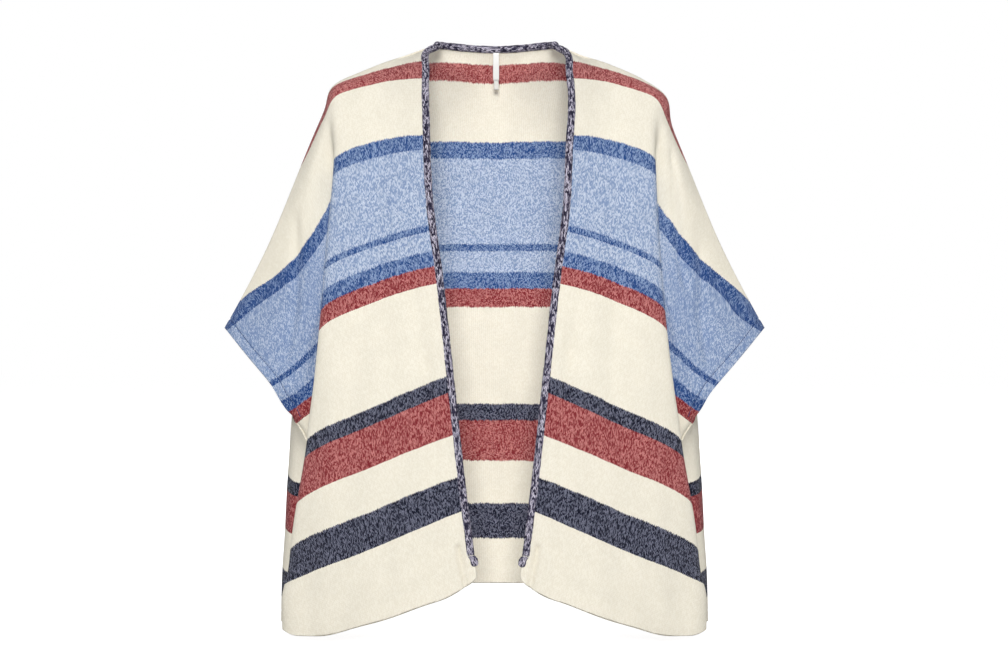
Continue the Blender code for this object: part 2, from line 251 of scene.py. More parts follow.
def drawn_lines(courses: Sequence[Sequence[Place]], seam: Sequence[float], hem: Sequence[float],
                lip_shift: Sequence[float] = (0,) * 8) -> list[np.ndarray]:
    """The lines that run down a panel, each as rows of (x, y, z, drop) in metres.

    Args:
        courses: for each course, its crossings with the lines, in mm.
        seam: each line's drop at the shoulder seam, in mm.
        hem: each line's drop at the hem, in mm.
        lip_shift: how far out the lip's line moves at each course, in mm.

    Returns:
        One array for each line.
    """
    lines = []
    for i in range(len(courses[0])):
        places = np.array([course[i] for course in courses], float)
        if i == FRONT_LINES.index("lip"):
            places[:, 0] += lip_shift
        table = np.column_stack([places * MM, drops(seam[i] * MM, hem[i] * MM)])
        lines.append(smooth_path(table, FINE.rows))
    return lines


def grid_through(lines: Sequence[np.ndarray], columns: Sequence[np.ndarray]) -> np.ndarray:
    """A panel's rows of (x, y, z, drop), through the lines that run down it."""
    return np.array([smooth_path(crossing, columns) for crossing in np.stack(lines, axis=1)])


def front_grid(side: Side) -> np.ndarray:
    """The front's rows of (x, y, z, drop), from the front edge out to the cuff.

    Args:
        side: which of the two fronts.

    Returns:
        Its rows of points, with the opening a little off the middle.
    """
    shift = RIGHT_LIP_SHIFT if side is Side.RIGHT else LEFT_LIP_SHIFT
    grid = grid_through(drawn_lines(FRONT, FRONT_SEAM_DROP, FRONT_HEM_DROP, shift), FINE.columns)
    grid[:, :, 0] *= side.value
    reach = len(FINE.columns[0]) + len(FINE.columns[1])
    towards_edge = np.clip(1 - np.arange(grid.shape[1]) / reach, 0, 1)
    forward = np.clip(-grid[:, :1, 1] / OPENING_FORWARD, 0, 1)
    grid[:, :, 0] += OPENING_SHIFT * towards_edge[None, :] * forward
    return grid


def back_grid() -> np.ndarray:
    """The back's rows of (x, y, z, drop), from the cuff at -X to the cuff at +X.

    Returns:
        Its rows of points, with the neck's curve in the first ones.
    """
    lines = drawn_lines(BACK, BACK_SEAM_DROP, BACK_HEM_DROP)
    turned = [line * (-1, 1, 1, 1) for line in lines[:0:-1]]
    other = tuple(np.append(1 - stops[-2::-1], 1.0) for stops in HALF_BACK[::-1])
    grid = grid_through(turned + lines, other + HALF_BACK)
    middle = FINE.neck_columns + FRONT_STEPS
    curve = smooth_path(np.array(NECK_CURVE, float) * MM, [even(FINE.neck_columns)] * (len(NECK_CURVE) - 1))
    spread = np.linspace(0, len(curve) - 1, FINE.neck_columns + 1)
    half_neck = places_at(spread, np.arange(len(curve)), curve)
    rows = len(FINE.rows[0])
    share = 1 - fade(np.arange(rows), 0, rows)
    for side in Side:
        columns = middle + side.value * np.arange(FINE.neck_columns + 1)
        moved = half_neck * (side.value, 1, 1) - grid[0, columns, :3]
        keep = slice(0 if side is Side.LEFT else 1, None)
        grid[:rows, columns[keep], :3] += share[:, None, None] * moved[None, keep]
    return grid


@dataclass(frozen=True)
class Nudge:
    """A part of the sweater that sits a little aside from the even form: where, how far and how wide."""

    centre: Place
    shift: Place
    reach: float


# In mm: the neck points and the edges below them, the shoulders, the cuffs' lower corners and the hem.
NUDGES = (
    Nudge((-83, 10, 0), (6.5, 0, 0), 24),
    Nudge((-86, -14, -10), (-3.5, 0, 1.5), 18),
    Nudge((-87, -30, -24), (-4.5, 0, 0), 22),
    Nudge((83, 10, 0), (-1.5, 0, 0), 20),
    Nudge((88, -14, -10), (4, 0, 1.5), 18),
    Nudge((92, -32, -26), (7.5, 0, 0), 25),
    Nudge((100, -60, -60), (2.5, 0, 0), 40),
    Nudge((97, -88, -98), (3.5, 0, 0), 42),
    Nudge((-116, 8, -12), (0, 0, -3), 24),
    Nudge((114, 8, -11), (0, 0, -4), 24),
    Nudge((-208, 3, -62), (-7, 0, 2), 22),
    Nudge((222, 3, -73), (11, 0, 3), 24),
    Nudge((-262, -46, -488), (-11, 0, -3), 30),
    Nudge((258, -46, -492), (10, 0, -3), 26),
    Nudge((-60, -138, -715), (0, 0, -4.5), 28),
    Nudge((62, -138, -715), (0, 0, -5), 28),
    Nudge((-276, -12, -782), (4, 0, 7), 19),
    Nudge((278, -12, -782), (-3.5, 0, 9), 18),
)
# In mm: the back's sides below the sleeves, which face further forward.
SIDE_OUT = 277
SIDE_BACK = 12
SIDE_HEIGHTS = (-500, -550, -600, -650)
SIDE_INWARD = 0.011
SIDE_FORWARD = 12
SIDE_REACH = 38
SIDE_NUDGES = tuple(
    Nudge((out, SIDE_BACK, up), (-SIDE_INWARD * out, -SIDE_FORWARD, 0), SIDE_REACH)
    for out in (-SIDE_OUT, SIDE_OUT)
    for up in SIDE_HEIGHTS
)


def settle(grid: np.ndarray) -> np.ndarray:
    """Hangs a panel: nudges it here and there, dips its hem in front and rounds it at the sides.

    Args:
        grid: a panel's rows of points, each (x, y, z, drop).

    Returns:
        The same grid, changed in place.
    """
    places = grid[:, :, :3].copy()
    for nudge in NUDGES + SIDE_NUDGES:
        gap = np.linalg.norm(places - np.array(nudge.centre) * MM, axis=2) / (nudge.reach * MM)
        grid[:, :, :3] += np.exp(-(gap**2))[..., None] * np.array(nudge.shift) * MM
    low = np.clip((HEM_START - places[:, :, 2]) / HEM_RISE, 0, 1) ** 2
    out = np.abs(places[:, :, 0])
    in_front = fade(-places[:, :, 1], *HEM_DIP_FORWARD)
    dip = HEM_DIP * np.exp(-(((out - HEM_DIP_OUT) / HEM_DIP_REACH) ** 2)) * in_front
    rise = HEM_CORNER * fade(out, *HEM_CORNER_OUT)
    grid[:, :, 2] += low * (rise - dip)
    return grid


def normal_sums(grid: np.ndarray) -> np.ndarray:
    """The sum of the face normals round each point of a grid, outwards on the back.

    Args:
        grid: a panel's rows of points, each (x, y, z, drop).

    Returns:
        One vector for each point.
    """
    places = grid[:, :, :3]
    down = places[1:, :-1] - places[:-1, :-1] + places[1:, 1:] - places[:-1, 1:]
    across = places[:-1, 1:] - places[:-1, :-1] + places[1:, 1:] - places[1:, :-1]
    faces = unit(np.cross(across, down))
    total = np.zeros_like(places)
    for rows in (slice(None, -1), slice(1, None)):
        for columns in (slice(None, -1), slice(1, None)):
            total[rows, columns] += faces
    return total


# The least part of a step's square that counts as across the cloth.
LEAST_ACROSS = 0.04


def row_lengths(grid: np.ndarray) -> np.ndarray:
    """How far each point is along its course from the grid's first column, in metres of cloth.

    A row of points near the shoulder seam runs down the cloth as well as across it, so its drop is taken
    out.

    Args:
        grid: a panel's rows of points, each (x, y, z, drop).

    Returns:
        One length for each point, 0 in the first column.
    """
    steps = np.diff(grid, axis=1)
    chords = (steps[:, :, :3] ** 2).sum(axis=2)
    across = np.sqrt(np.maximum(chords - steps[:, :, 3] ** 2, LEAST_ACROSS * chords))
    return np.concatenate([np.zeros((len(grid), 1)), np.cumsum(across, axis=1)], axis=1)


@dataclass(frozen=True)
class Crease:
    """A soft fold in a panel, from one place on the cloth to another.

    A place is (lines across, drop): 0 is the front edge or the centre back, and each line further out adds 1.
    """

    start: tuple[float, float]
    end: tuple[float, float]
    width: float
    depth: float


@dataclass(frozen=True)
class Sag:
    """A place where the knit's rows hang lower or higher than the panel's own, with how far it reaches."""

    line: float
    drop: float
    lines_reach: float
    drop_reach: float
    amount: float


FRONT_CREASES = {
    Side.LEFT: (
        Crease((0.52, 0.29), (0.30, 0.46), 0.009, -0.0020),
        Crease((0.29, 0.45), (0.26, 0.58), 0.008, -0.0022),
        Crease((0.34, 0.60), (0.42, 0.76), 0.012, -0.0020),
        Crease((0.12, 0.28), (0.12, 0.70), 0.012, 0.0012),
        Crease((1.26, 0.34), (1.36, 0.50), 0.014, -0.0020),
        Crease((0.95, 0.33), (0.80, 0.50), 0.013, -0.0016),
        Crease((1.62, 0.40), (1.52, 0.72), 0.018, 0.0022),
        Crease((1.00, 0.52), (0.90, 0.74), 0.018, -0.0020),
        Crease((1.70, 0.06), (1.60, 0.26), 0.020, -0.0018),
        Crease((2.00, 0.676), (2.00, 0.74), 0.029, 0.0085),
        Crease((0.112, 0.700), (0.086, 0.757), 0.0034, -0.0060),
        Crease((3.70, 0.10), (4.35, 0.24), 0.013, -0.0038),
        Crease((3.25, 0.16), (4.55, 0.29), 0.014, 0.0028),
        Crease((3.95, 0.24), (4.70, 0.33), 0.011, -0.0024),
        Crease((3.30, 0.24), (4.10, 0.32), 0.012, -0.0022),
    ),
    Side.RIGHT: (
        Crease((0.50, 0.28), (0.30, 0.44), 0.009, -0.0018),
        Crease((0.28, 0.42), (0.30, 0.58), 0.008, -0.0022),
        Crease((0.30, 0.60), (0.42, 0.76), 0.012, -0.0018),
        Crease((0.12, 0.28), (0.12, 0.70), 0.012, 0.0012),
        Crease((1.04, 0.33), (1.02, 0.50), 0.014, -0.0026),
        Crease((0.62, 0.34), (0.60, 0.50), 0.014, 0.0016),
        Crease((1.40, 0.40), (1.50, 0.72), 0.018, 0.0020),
        Crease((1.15, 0.52), (1.10, 0.74), 0.018, -0.0022),
        Crease((1.65, 0.06), (1.60, 0.26), 0.020, -0.0018),
        Crease((2.00, 0.676), (2.00, 0.74), 0.029, 0.0085),
        Crease((0.112, 0.700), (0.086, 0.757), 0.0034, -0.0060),
        Crease((3.25, 0.08), (3.90, 0.17), 0.012, -0.0042),
        Crease((3.90, 0.12), (4.50, 0.24), 0.012, -0.0030),
        Crease((3.40, 0.18), (4.60, 0.30), 0.014, 0.0026),
        Crease((3.85, 0.25), (4.60, 0.33), 0.012, -0.0024),
    ),
}
BACK_CREASES = (
    Crease((-1.2, 0.14), (-1.6, 0.66), 0.024, -0.0030),
    Crease((-0.3, 0.30), (-0.5, 0.70), 0.028, 0.0026),
    Crease((0.6, 0.26), (0.8, 0.70), 0.026, -0.0026),
    Crease((1.5, 0.16), (1.9, 0.64), 0.024, 0.0030),
    Crease((2.4, 0.20), (2.6, 0.66), 0.022, -0.0028),
    Crease((-2.4, 0.24), (-2.5, 0.66), 0.022, 0.0028),
    Crease((3.6, 0.10), (5.2, 0.26), 0.016, -0.0034),
    Crease((-3.6, 0.12), (-5.1, 0.28), 0.016, -0.0032),
    Crease((4.3, 0.22), (5.4, 0.32), 0.013, 0.0026),
    Crease((-4.2, 0.20), (-5.5, 0.30), 0.014, 0.0026),
)

FRONT_SAGS = {
    Side.LEFT: (
        Sag(3.6, 0.135, 0.45, 0.050, -0.0060),
        Sag(4.5, 0.137, 0.30, 0.035, 0.0050),
        Sag(4.7, 0.120, 0.30, 0.016, 0.0025),
        Sag(4.6, 0.162, 0.45, 0.016, -0.0045),
        Sag(0.0, 0.630, 0.90, 0.050, 0.0035),
    ),
    Side.RIGHT: (
        Sag(3.2, 0.135, 0.35, 0.050, -0.0070),
        Sag(4.25, 0.137, 0.38, 0.035, 0.0080),
        Sag(4.7, 0.120, 0.45, 0.016, 0.0040),
        Sag(4.7, 0.162, 0.45, 0.016, -0.0090),
        Sag(0.0, 0.630, 0.90, 0.050, 0.0030),
    ),
}


# ---- writing materials -----------------------------------------------------------------------------------
class Sketch:
    """Writes one material's nodes, with a short call for each."""

    def __init__(self, name: str) -> None:
        """Starts a material that holds a Principled shader.

        Args:
            name: the material's name.
        """
        self.material = bpy.data.materials.new(name)
        self.material.use_nodes = True
        self.tree = self.material.node_tree
        self.shader = self.tree.nodes["Principled BSDF"]

    def node(self, kind: str, **settings: object) -> bpy.types.Node:
        """A new node of that kind, with its settings made.

        Args:
            kind: the node's type.
            **settings: its properties by name.

        Returns:
            The node.
        """
        made = self.tree.nodes.new(kind)
        for name, value in settings.items():
            setattr(made, name, value)
        return made

    def feed(self, socket: bpy.types.NodeSocket, value: Value | Sequence[float]) -> None:
        """Links value to socket if it is another node's, or else sets it.

        Args:
            socket: a node's input.
            value: an output to link to it, or the value to set.
        """
        if isinstance(value, bpy.types.NodeSocket):
            self.tree.links.new(value, socket)
        else:
            socket.default_value = value

    def math(self, operation: str, *values: Value) -> bpy.types.NodeSocket:
        """The result of a Math node.

        Args:
            operation: what the node does.
            *values: its inputs in order.

        Returns:
            Its output.
        """
        made = self.node("ShaderNodeMath", operation=operation)
        for socket, value in zip(made.inputs, values):
            self.feed(socket, value)
        return made.outputs[0]

    def scaled(self, value: Value, amount: Value) -> bpy.types.NodeSocket:
        """The value times the amount."""
        return self.math("MULTIPLY", value, amount)

    def swing(self, value: Value, amount: float) -> bpy.types.NodeSocket:
        """A value that is 0.5 on average, spread by the amount about 0."""
        return self.scaled(self.math("SUBTRACT", value, 0.5), amount)

    def total(self, *values: Value) -> bpy.types.NodeSocket:
        """The sum of the values.

        Args:
            *values: outputs or numbers.

        Returns:
            The last Math node's output.
        """
        result = values[0]
        for value in values[1:]:
            result = self.math("ADD", result, value)
        return result

    def ranged(self, value: Value, low: float, high: float, to_low: float = 0.0,
               to_high: float = 1.0) -> bpy.types.NodeSocket:
        """A value, smoothly mapped from one range to another and held at its ends.

        Args:
            value: what is mapped.
            low: where it starts to change.
            high: where it stops.
            to_low: the result at low.
            to_high: the result at high.

        Returns:
            The result.
        """
        made = self.node("ShaderNodeMapRange", interpolation_type="SMOOTHSTEP")
        for socket, number in zip(made.inputs, (value, low, high, to_low, to_high)):
            self.feed(socket, number)
        return made.outputs[0]

    def vector(self, x: Value, y: Value, z: Value = 0.0) -> bpy.types.NodeSocket:
        """A vector from its three parts.

        Args:
            x: its first part.
            y: its second part.
            z: its third part.

        Returns:
            The vector.
        """
        made = self.node("ShaderNodeCombineXYZ")
        for socket, value in zip(made.inputs, (x, y, z)):
            self.feed(socket, value)
        return made.outputs[0]

    def noise(self, place: Value, scale: float, detail: float = 2.0,
              roughness: float = 0.5) -> bpy.types.NodeSocket:
        """Smooth noise, about 0.5 on average.

        Args:
            place: where it is read.
            scale: how many lumps there are in a metre.
            detail: how many finer layers it has.
            roughness: how strong they are.

        Returns:
            The noise at that place.
        """
        made = self.node("ShaderNodeTexNoise")
        self.feed(made.inputs["Vector"], place)
        made.inputs["Scale"].default_value = scale
        made.inputs["Detail"].default_value = detail
        made.inputs["Roughness"].default_value = roughness
        return made.outputs["Fac"]

    def chance(self, x: Value, y: Value) -> bpy.types.NodeSocket:
        """A number from 0 to 1 that is fixed for each x and y.

        Args:
            x: a whole number or an output that holds one.
            y: another.

        Returns:
            The number.
        """
        made = self.node("ShaderNodeTexWhiteNoise", noise_dimensions="2D")
        self.feed(made.inputs["Vector"], self.vector(x, y))
        return made.outputs["Value"]

    def mix(self, factor: Value, first: Value | Sequence[float], second: Value | Sequence[float],
            blend: str = "MIX") -> bpy.types.NodeSocket:
        """A colour between first and second.

        Args:
            factor: 0 for first and 1 for second.
            first: a colour, or an output that holds one.
            second: another.
            blend: how second is laid on first.

        Returns:
            The colour.
        """
        made = self.node("ShaderNodeMix", data_type="RGBA", blend_type=blend)
        self.feed(made.inputs["Factor"], factor)
        for socket, value in ((made.inputs[6], first), (made.inputs[7], second)):
            self.feed(socket, value if isinstance(value, bpy.types.NodeSocket) else (*value, 1.0))
        return made.outputs[2]

    def shaded(self, colour: Value | Sequence[float], shade: Value) -> bpy.types.NodeSocket:
        """The colour, darkened or lightened by the shade."""
        return self.mix(1.0, colour, self.vector(shade, shade, shade), "MULTIPLY")

    def steps(self, place: Value, stops: Sequence[tuple[float, Sequence[float]]]) -> bpy.types.NodeSocket:
        """The colour of the last stop that place has passed.

        Args:
            place: a value from 0 to 1.
            stops: where each colour starts, in order, with the colour.

        Returns:
            The colour.
        """
        made = self.node("ShaderNodeValToRGB")
        ramp = made.color_ramp
        ramp.interpolation = "CONSTANT"
        self.feed(made.inputs["Fac"], place)
        ramp.elements.remove(ramp.elements[-1])
        ramp.elements[0].position = 0
        ramp.elements[0].color = (*stops[0][1], 1)
        for position, colour in stops[1:]:
            ramp.elements.new(position).color = (*colour, 1)
        return made.outputs["Color"]

    def cloth_place(self) -> tuple[bpy.types.NodeSocket, ...]:
        """The place on the cloth's own map, and its parts across and down."""
        place = self.node("ShaderNodeUVMap", uv_map=CLOTH_MAP).outputs["UV"]
        return (place, *self.parts(place)[:2])

    def parts(self, place: Value) -> tuple[bpy.types.NodeSocket, ...]:
        """The three parts of a place.

        Args:
            place: an output that holds a place.

        Returns:
            Its x, y and z.
        """
        made = self.node("ShaderNodeSeparateXYZ")
        self.feed(made.inputs[0], place)
        return tuple(made.outputs)

    def raise_by(self, height: Value, strength: float, distance: float) -> None:
        """Bumps the surface.

        Args:
            height: how high each point is, 1 at the top.
            strength: how much of the bump shows.
            distance: how far up a height of 1 is, in metres.
        """
        made = self.node("ShaderNodeBump")
        made.inputs["Strength"].default_value = strength
        made.inputs["Distance"].default_value = distance
        self.feed(made.inputs["Height"], height)
        self.feed(self.shader.inputs["Normal"], made.outputs["Normal"])

    def finished(self, colour: Value, roughness: float, specular: float = 0.5,
                 sheen: float = 0.0) -> bpy.types.Material:
        """The material, with its colour and shine set.

        Args:
            colour: the base colour.
            roughness: how dull the surface is.
            specular: how much it mirrors.
            sheen: how much its nap shines.

        Returns:
            The material.
        """
        self.feed(self.shader.inputs["Base Color"], colour)
        shine = {"Roughness": roughness, "Specular IOR Level": specular, "Sheen Weight": sheen}
        for name, amount in shine.items():
            self.shader.inputs[name].default_value = amount
        return self.material


@dataclass(frozen=True)
class Gauge:
    """The knit's stitch: a wale's width, a course's height, and how many courses a leg of it climbs."""

    wale: float
    course: float
    slant: float


class Face(Enum):
    """The two faces of plain knitting."""

    KNIT = "knit"
    PURL = "purl"


# On the purl face each course shows as two rows of bars, which lie closer than the knit face's legs.
PURL_COURSE = 0.64
# How far the yarn's plies turn across a leg.
PLY_SLANT = 0.9


@dataclass
class Stitches:
    """Where a point is in the knitting, as node sockets."""

    leg: bpy.types.NodeSocket
    row: bpy.types.NodeSocket
    spread: bpy.types.NodeSocket
    height: bpy.types.NodeSocket
    ply: bpy.types.NodeSocket


def knit(sketch: Sketch, across: Value, down: Value, gauge: Gauge, face: Face = Face.KNIT) -> Stitches:
    """Lays stitches on a surface.

    Args:
        sketch: the material that is being written.
        across: metres of cloth across the wales.
        down: metres of cloth down them.
        gauge: the stitch.
        face: which face of the knitting shows.

    Returns:
        The stitches' sockets: which leg and row, how far from the wale's middle, the height of the yarn, and
        which of its two plies is on top.
    """
    wales = sketch.math("DIVIDE", across, gauge.wale)
    leg = sketch.math("FLOOR", sketch.scaled(wales, 2.0))
    turn = sketch.math("SUBTRACT", sketch.scaled(sketch.math("FRACT", wales), 2.0), 1.0)
    spread = sketch.math("ABSOLUTE", turn)
    if face is Face.KNIT:
        rows = sketch.math("DIVIDE", down, gauge.course)
        rows = sketch.math("ADD", rows, sketch.scaled(spread, gauge.slant))
        width = sketch.math("SINE", sketch.scaled(spread, math.pi))
    else:
        rows = sketch.math("DIVIDE", down, gauge.course * PURL_COURSE)
        wave = sketch.math("COSINE", sketch.scaled(wales, 2 * math.pi))
        rows = sketch.math("ADD", rows, sketch.scaled(wave, 0.5))
        width = sketch.math("ABSOLUTE", sketch.math("COSINE", sketch.scaled(wales, math.pi)))
    row = sketch.math("FLOOR", rows)
    along = sketch.math("FRACT", rows)
    hump = sketch.math("SINE", sketch.scaled(along, math.pi))
    height = sketch.math("ADD", sketch.scaled(width, 0.5), sketch.scaled(hump, 0.5))
    twist = sketch.total(along, sketch.scaled(spread, PLY_SLANT), sketch.chance(leg, row))
    ply = sketch.math("SINE", sketch.scaled(twist, 2 * math.pi))
    return Stitches(leg, row, spread, height, ply)


# ---- finishes --------------------------------------------------------------------------------------------
def dye(red: int, green: int, blue: int) -> Colour:
    """A colour as light, from the numbers 0 to 255 that a screen shows it with."""
    parts = [part / 255 for part in (red, green, blue)]
    return tuple(part / 12.92 if part <= 0.04045 else ((part + 0.055) / 1.055) ** 2.4 for part in parts)


@dataclass(frozen=True)
class Yarn:
    """One marled yarn: its main shade, and the lighter and the darker plies that show in it."""

    main: Colour
    light: Colour
    dark: Colour


CREAM = Yarn(dye(235, 229, 213), dye(241, 236, 222), dye(227, 220, 202))
RED = Yarn(dye(148, 53, 57), dye(226, 160, 154), dye(96, 22, 32))
BLUE = Yarn(dye(52, 88, 146), dye(178, 198, 224), dye(12, 44, 104))
PALE_BLUE = Yarn(dye(158, 176, 204), dye(224, 229, 236), dye(84, 111, 160))
NAVY = Yarn(dye(17, 20, 42), dye(148, 151, 172), dye(3, 5, 20))

# The stripes down every panel, each from where the last one ends: (drop at its end, in mm; yarn).
STRIPES = (
    (22, CREAM), (47, RED), (126, CREAM),
    (149, BLUE), (260, PALE_BLUE), (270, BLUE), (297, PALE_BLUE), (320, BLUE), (344, RED), (478, CREAM),
    (499, NAVY), (553, RED), (607, CREAM), (654, NAVY), (800, CREAM),
)
STRIPES_END = 0.8


@dataclass(frozen=True)
class StripedKnit:
    """The panels' cloth: striped plain knitting in marled yarns, brushed a little on its outer face."""

    gauge: Gauge = Gauge(wale=0.0028, course=0.0023, slant=1.3)
    ragged: float = 0.0018
    tidy: float = 0.0007
    relief: float = 0.0007
    wander: float = 0.0010
    # Painted light: the inner, purl face is made brighter than the outer one.
    inner_painted_light: float = 1.18
    light_tones: tuple[float, float] = (0.22, 0.84)
    dark_tones: tuple[float, float] = (-0.06, -0.66)
    # Painted light: down to these drops below the shoulder seam the marl is pushed towards its light ply, as
    # if lit from above.
    shoulder: tuple[float, float] = (0.060, 0.100)
    shoulder_painted_light: float = 0.14
    # Painted shade: from this far across the cloth outwards, towards the sleeves, the marl is pushed towards
    # its dark ply.
    sleeve: tuple[float, float] = (0.235, 0.290)
    sleeve_painted_shade: float = -0.24
    # Painted shade in the hollows between the stitches: the colour is darkened where the yarn lies low.
    hollow_shade: tuple[float, ...] = (0.08, 0.7, 0.88, 1.02)
    mottle: tuple[float, ...] = (0.3, 0.7, 0.975, 1.015)
    nap: float = 0.35
    bump: float = 0.55
    ply_share: float = 0.70
    stitch_share: float = 1.20
    cloud_share: float = 0.3

    def material(self, face: Face) -> bpy.types.Material:
        """The cloth's material.

        Args:
            face: the outer face is the knit one, and the inner face the purl one.

        Returns:
            The material, which reads the cloth's own map of metres across and down.
        """
        sketch = Sketch(f"striped_{face.value}_face")
        place, plain_across, plain_down = sketch.cloth_place()
        across = sketch.math("ADD", plain_across, sketch.swing(sketch.noise(place, 55.0), self.wander))
        down = sketch.math("ADD", plain_down, sketch.swing(sketch.noise(place, 34.0), 2 * self.wander))
        stitches = knit(sketch, across, down, self.gauge, face)
        edge = self.stripe_place(sketch, stitches, down, face)
        # The marl's tone, with painted light on the top band by the shoulder seams and painted shade out
        # towards the sleeves.
        tone = sketch.total(
            self.tone(sketch, place, stitches),
            sketch.ranged(plain_down, *self.shoulder, self.shoulder_painted_light, 0.0),
            sketch.ranged(sketch.math("ABSOLUTE", plain_across), *self.sleeve, 0.0, self.sleeve_painted_shade),
        )
        main, light, dark = (
            sketch.steps(edge, [(start, getattr(yarn, shade)) for start, yarn in self.starts()])
            for shade in ("main", "light", "dark")
        )
        colour = sketch.mix(sketch.ranged(tone, *self.light_tones), main, light)
        colour = sketch.mix(sketch.ranged(tone, *self.dark_tones), colour, dark)
        # Painted shade where the yarn lies low, times a random mottle in the yarn's tone.
        hollow_shade = sketch.ranged(stitches.height, *self.hollow_shade)
        mottle = sketch.ranged(sketch.noise(place, 26.0, 3.0), *self.mottle)
        shade = sketch.scaled(hollow_shade, mottle)
        # Painted light: the inner face is brightened.
        if face is Face.PURL:
            shade = sketch.scaled(shade, self.inner_painted_light)
        nap = sketch.scaled(sketch.noise(place, 1400.0, 3.0, 0.7), self.nap)
        sketch.raise_by(sketch.math("ADD", stitches.height, nap), self.bump, self.relief)
        return sketch.finished(sketch.shaded(colour, shade), roughness=0.92, specular=0.15, sheen=0.08)

    def starts(self) -> list[tuple[float, Yarn]]:
        """Where each stripe starts, as a share of the longest drop, with its yarn."""
        ends = [0.0] + [end * MM / STRIPES_END for end, _ in STRIPES[:-1]]
        return [(start, yarn) for start, (_, yarn) in zip(ends, STRIPES)]

    def stripe_place(self, sketch: Sketch, stitches: Stitches, down: Value,
                     face: Face) -> bpy.types.NodeSocket:
        """The drop that a stitch takes its colour from, as a share of the longest drop.

        A stripe darker than the one above starts in teeth, because its first stitches hang in the loops of
        the row above. Any other stripe starts more evenly, but on the purl face they all start in teeth.

        Args:
            sketch: the material that is being written.
            stitches: the stitches at this point.
            down: metres of cloth down from the shoulder.
            face: which face of the knitting shows.

        Returns:
            The drop, from 0 to 1.
        """
        starts = self.starts()
        teeth = []
        for (start, yarn), (_, before) in zip(starts[1:], starts[:-1]):
            darker = sum(yarn.main) < sum(before.main)
            teeth.append((start, self.ragged if darker or face is Face.PURL else self.tidy))
        stops = [(0.0, (teeth[0][1],) * 3)]
        for (start, _), (later, rough) in zip(teeth[:-1], teeth[1:]):
            stops.append(((start + later) / 2, (rough,) * 3))
        plain = sketch.math("DIVIDE", down, STRIPES_END)
        reach = sketch.math("DIVIDE", sketch.steps(plain, stops), STRIPES_END)
        luck = sketch.scaled(sketch.chance(stitches.leg, 7.0), 0.9)
        uneven = sketch.total(stitches.spread, luck, -0.95)
        return sketch.math("ADD", plain, sketch.scaled(uneven, reach))

    def tone(self, sketch: Sketch, place: Value, stitches: Stitches) -> bpy.types.NodeSocket:
        """Which shade of the marl shows: above 0 the light ply, below 0 the dark one.

        Args:
            sketch: the material that is being written.
            place: a place on the cloth's map.
            stitches: the stitches there.

        Returns:
            The shade, about 0 on average.
        """
        return sketch.total(
            sketch.scaled(stitches.ply, self.ply_share),
            sketch.swing(sketch.chance(stitches.leg, stitches.row), self.stitch_share),
            sketch.swing(sketch.noise(place, 330.0, 2.0, 0.6), self.cloud_share),
        )


@dataclass(frozen=True)
class MarlRoll:
    """The binding's yarn: navy and pale lilac plies, knitted into a roll of a few wales."""

    dark: Colour = dye(34, 31, 49)
    middle: Colour = dye(84, 80, 110)
    light: Colour = dye(220, 214, 230)
    middle_tones: tuple[float, float] = (-0.45, 0.15)
    light_tones: tuple[float, float] = (0.05, 0.50)
    # Painted shade in the hollows between the roll's stitches: dark where the yarn lies low.
    hollow_shade: tuple[float, ...] = (0.25, 0.78, 0.16, 1.0)
    fibres: float = 0.4
    bump: float = 0.5
    relief: float = 0.0005
    ply_share: float = 0.40
    stitch_share: float = 1.4
    cloud_share: float = 0.2

    def material(self) -> bpy.types.Material:
        """The binding's material.

        Returns:
            The material, which reads the roll's own map of wales across and courses down.
        """
        sketch = Sketch("marl_roll")
        place, across, down = sketch.cloth_place()
        stitches = knit(sketch, across, down, ROLL_GAUGE)
        tone = sketch.total(
            sketch.scaled(stitches.ply, self.ply_share),
            sketch.swing(sketch.chance(stitches.leg, stitches.row), self.stitch_share),
            sketch.swing(sketch.noise(place, 3.0, 2.0, 0.6), self.cloud_share),
        )
        colour = sketch.mix(sketch.ranged(tone, *self.middle_tones), self.dark, self.middle)
        colour = sketch.mix(sketch.ranged(tone, *self.light_tones), colour, self.light)
        # Painted shade where the yarn lies low.
        hollow_shade = sketch.ranged(stitches.height, *self.hollow_shade)
        fibres = sketch.scaled(sketch.noise(place, 9.0, 3.0, 0.7), self.fibres)
        sketch.raise_by(sketch.math("ADD", stitches.height, fibres), self.bump, self.relief)
        return sketch.finished(sketch.shaded(colour, hollow_shade), roughness=0.85, specular=0.15)


@dataclass(frozen=True)
class Thread:
    """Sewing thread: plain, with its twist."""

    name: str
    colour: Colour

    def material(self) -> bpy.types.Material:
        """The thread's material.

        Returns:
            The material, which reads the piece's own places.
        """
        sketch = Sketch(self.name)
        place = sketch.node("ShaderNodeTexCoord").outputs["Object"]
        shade = sketch.ranged(sketch.noise(place, 900.0), 0.3, 0.7, 0.82, 1.05)
        return sketch.finished(sketch.shaded(self.colour, shade), roughness=0.8, specular=0.2)


@dataclass(frozen=True)
class Tape:
    """A woven tape, with fine ribs across it."""

    name: str
    colour: Colour
    ribs: float
    roughness: float

    def material(self) -> bpy.types.Material:
        """The tape's material.

        Returns:
            The material, which reads the piece's own places.
        """
        sketch = Sketch(self.name)
        across, _, up = sketch.parts(sketch.node("ShaderNodeTexCoord").outputs["Object"])
        rib = sketch.math("SINE", sketch.scaled(up, self.ribs))
        cross = sketch.math("SINE", sketch.scaled(across, self.ribs * 1.6))
        weave = sketch.scaled(rib, cross)
        sketch.raise_by(weave, 0.25, 0.0001)
        # Painted shade: the tape is darkened where its weave lies low.
        shade = sketch.ranged(weave, -1.0, 1.0, 0.94, 1.0)
        return sketch.finished(sketch.shaded(self.colour, shade), roughness=self.roughness, sheen=0.15)


# ---- making pieces ---------------------------------------------------------------------------------------
CLOTH_MAP = "cloth"
BAKE_MAP = "OFBake"
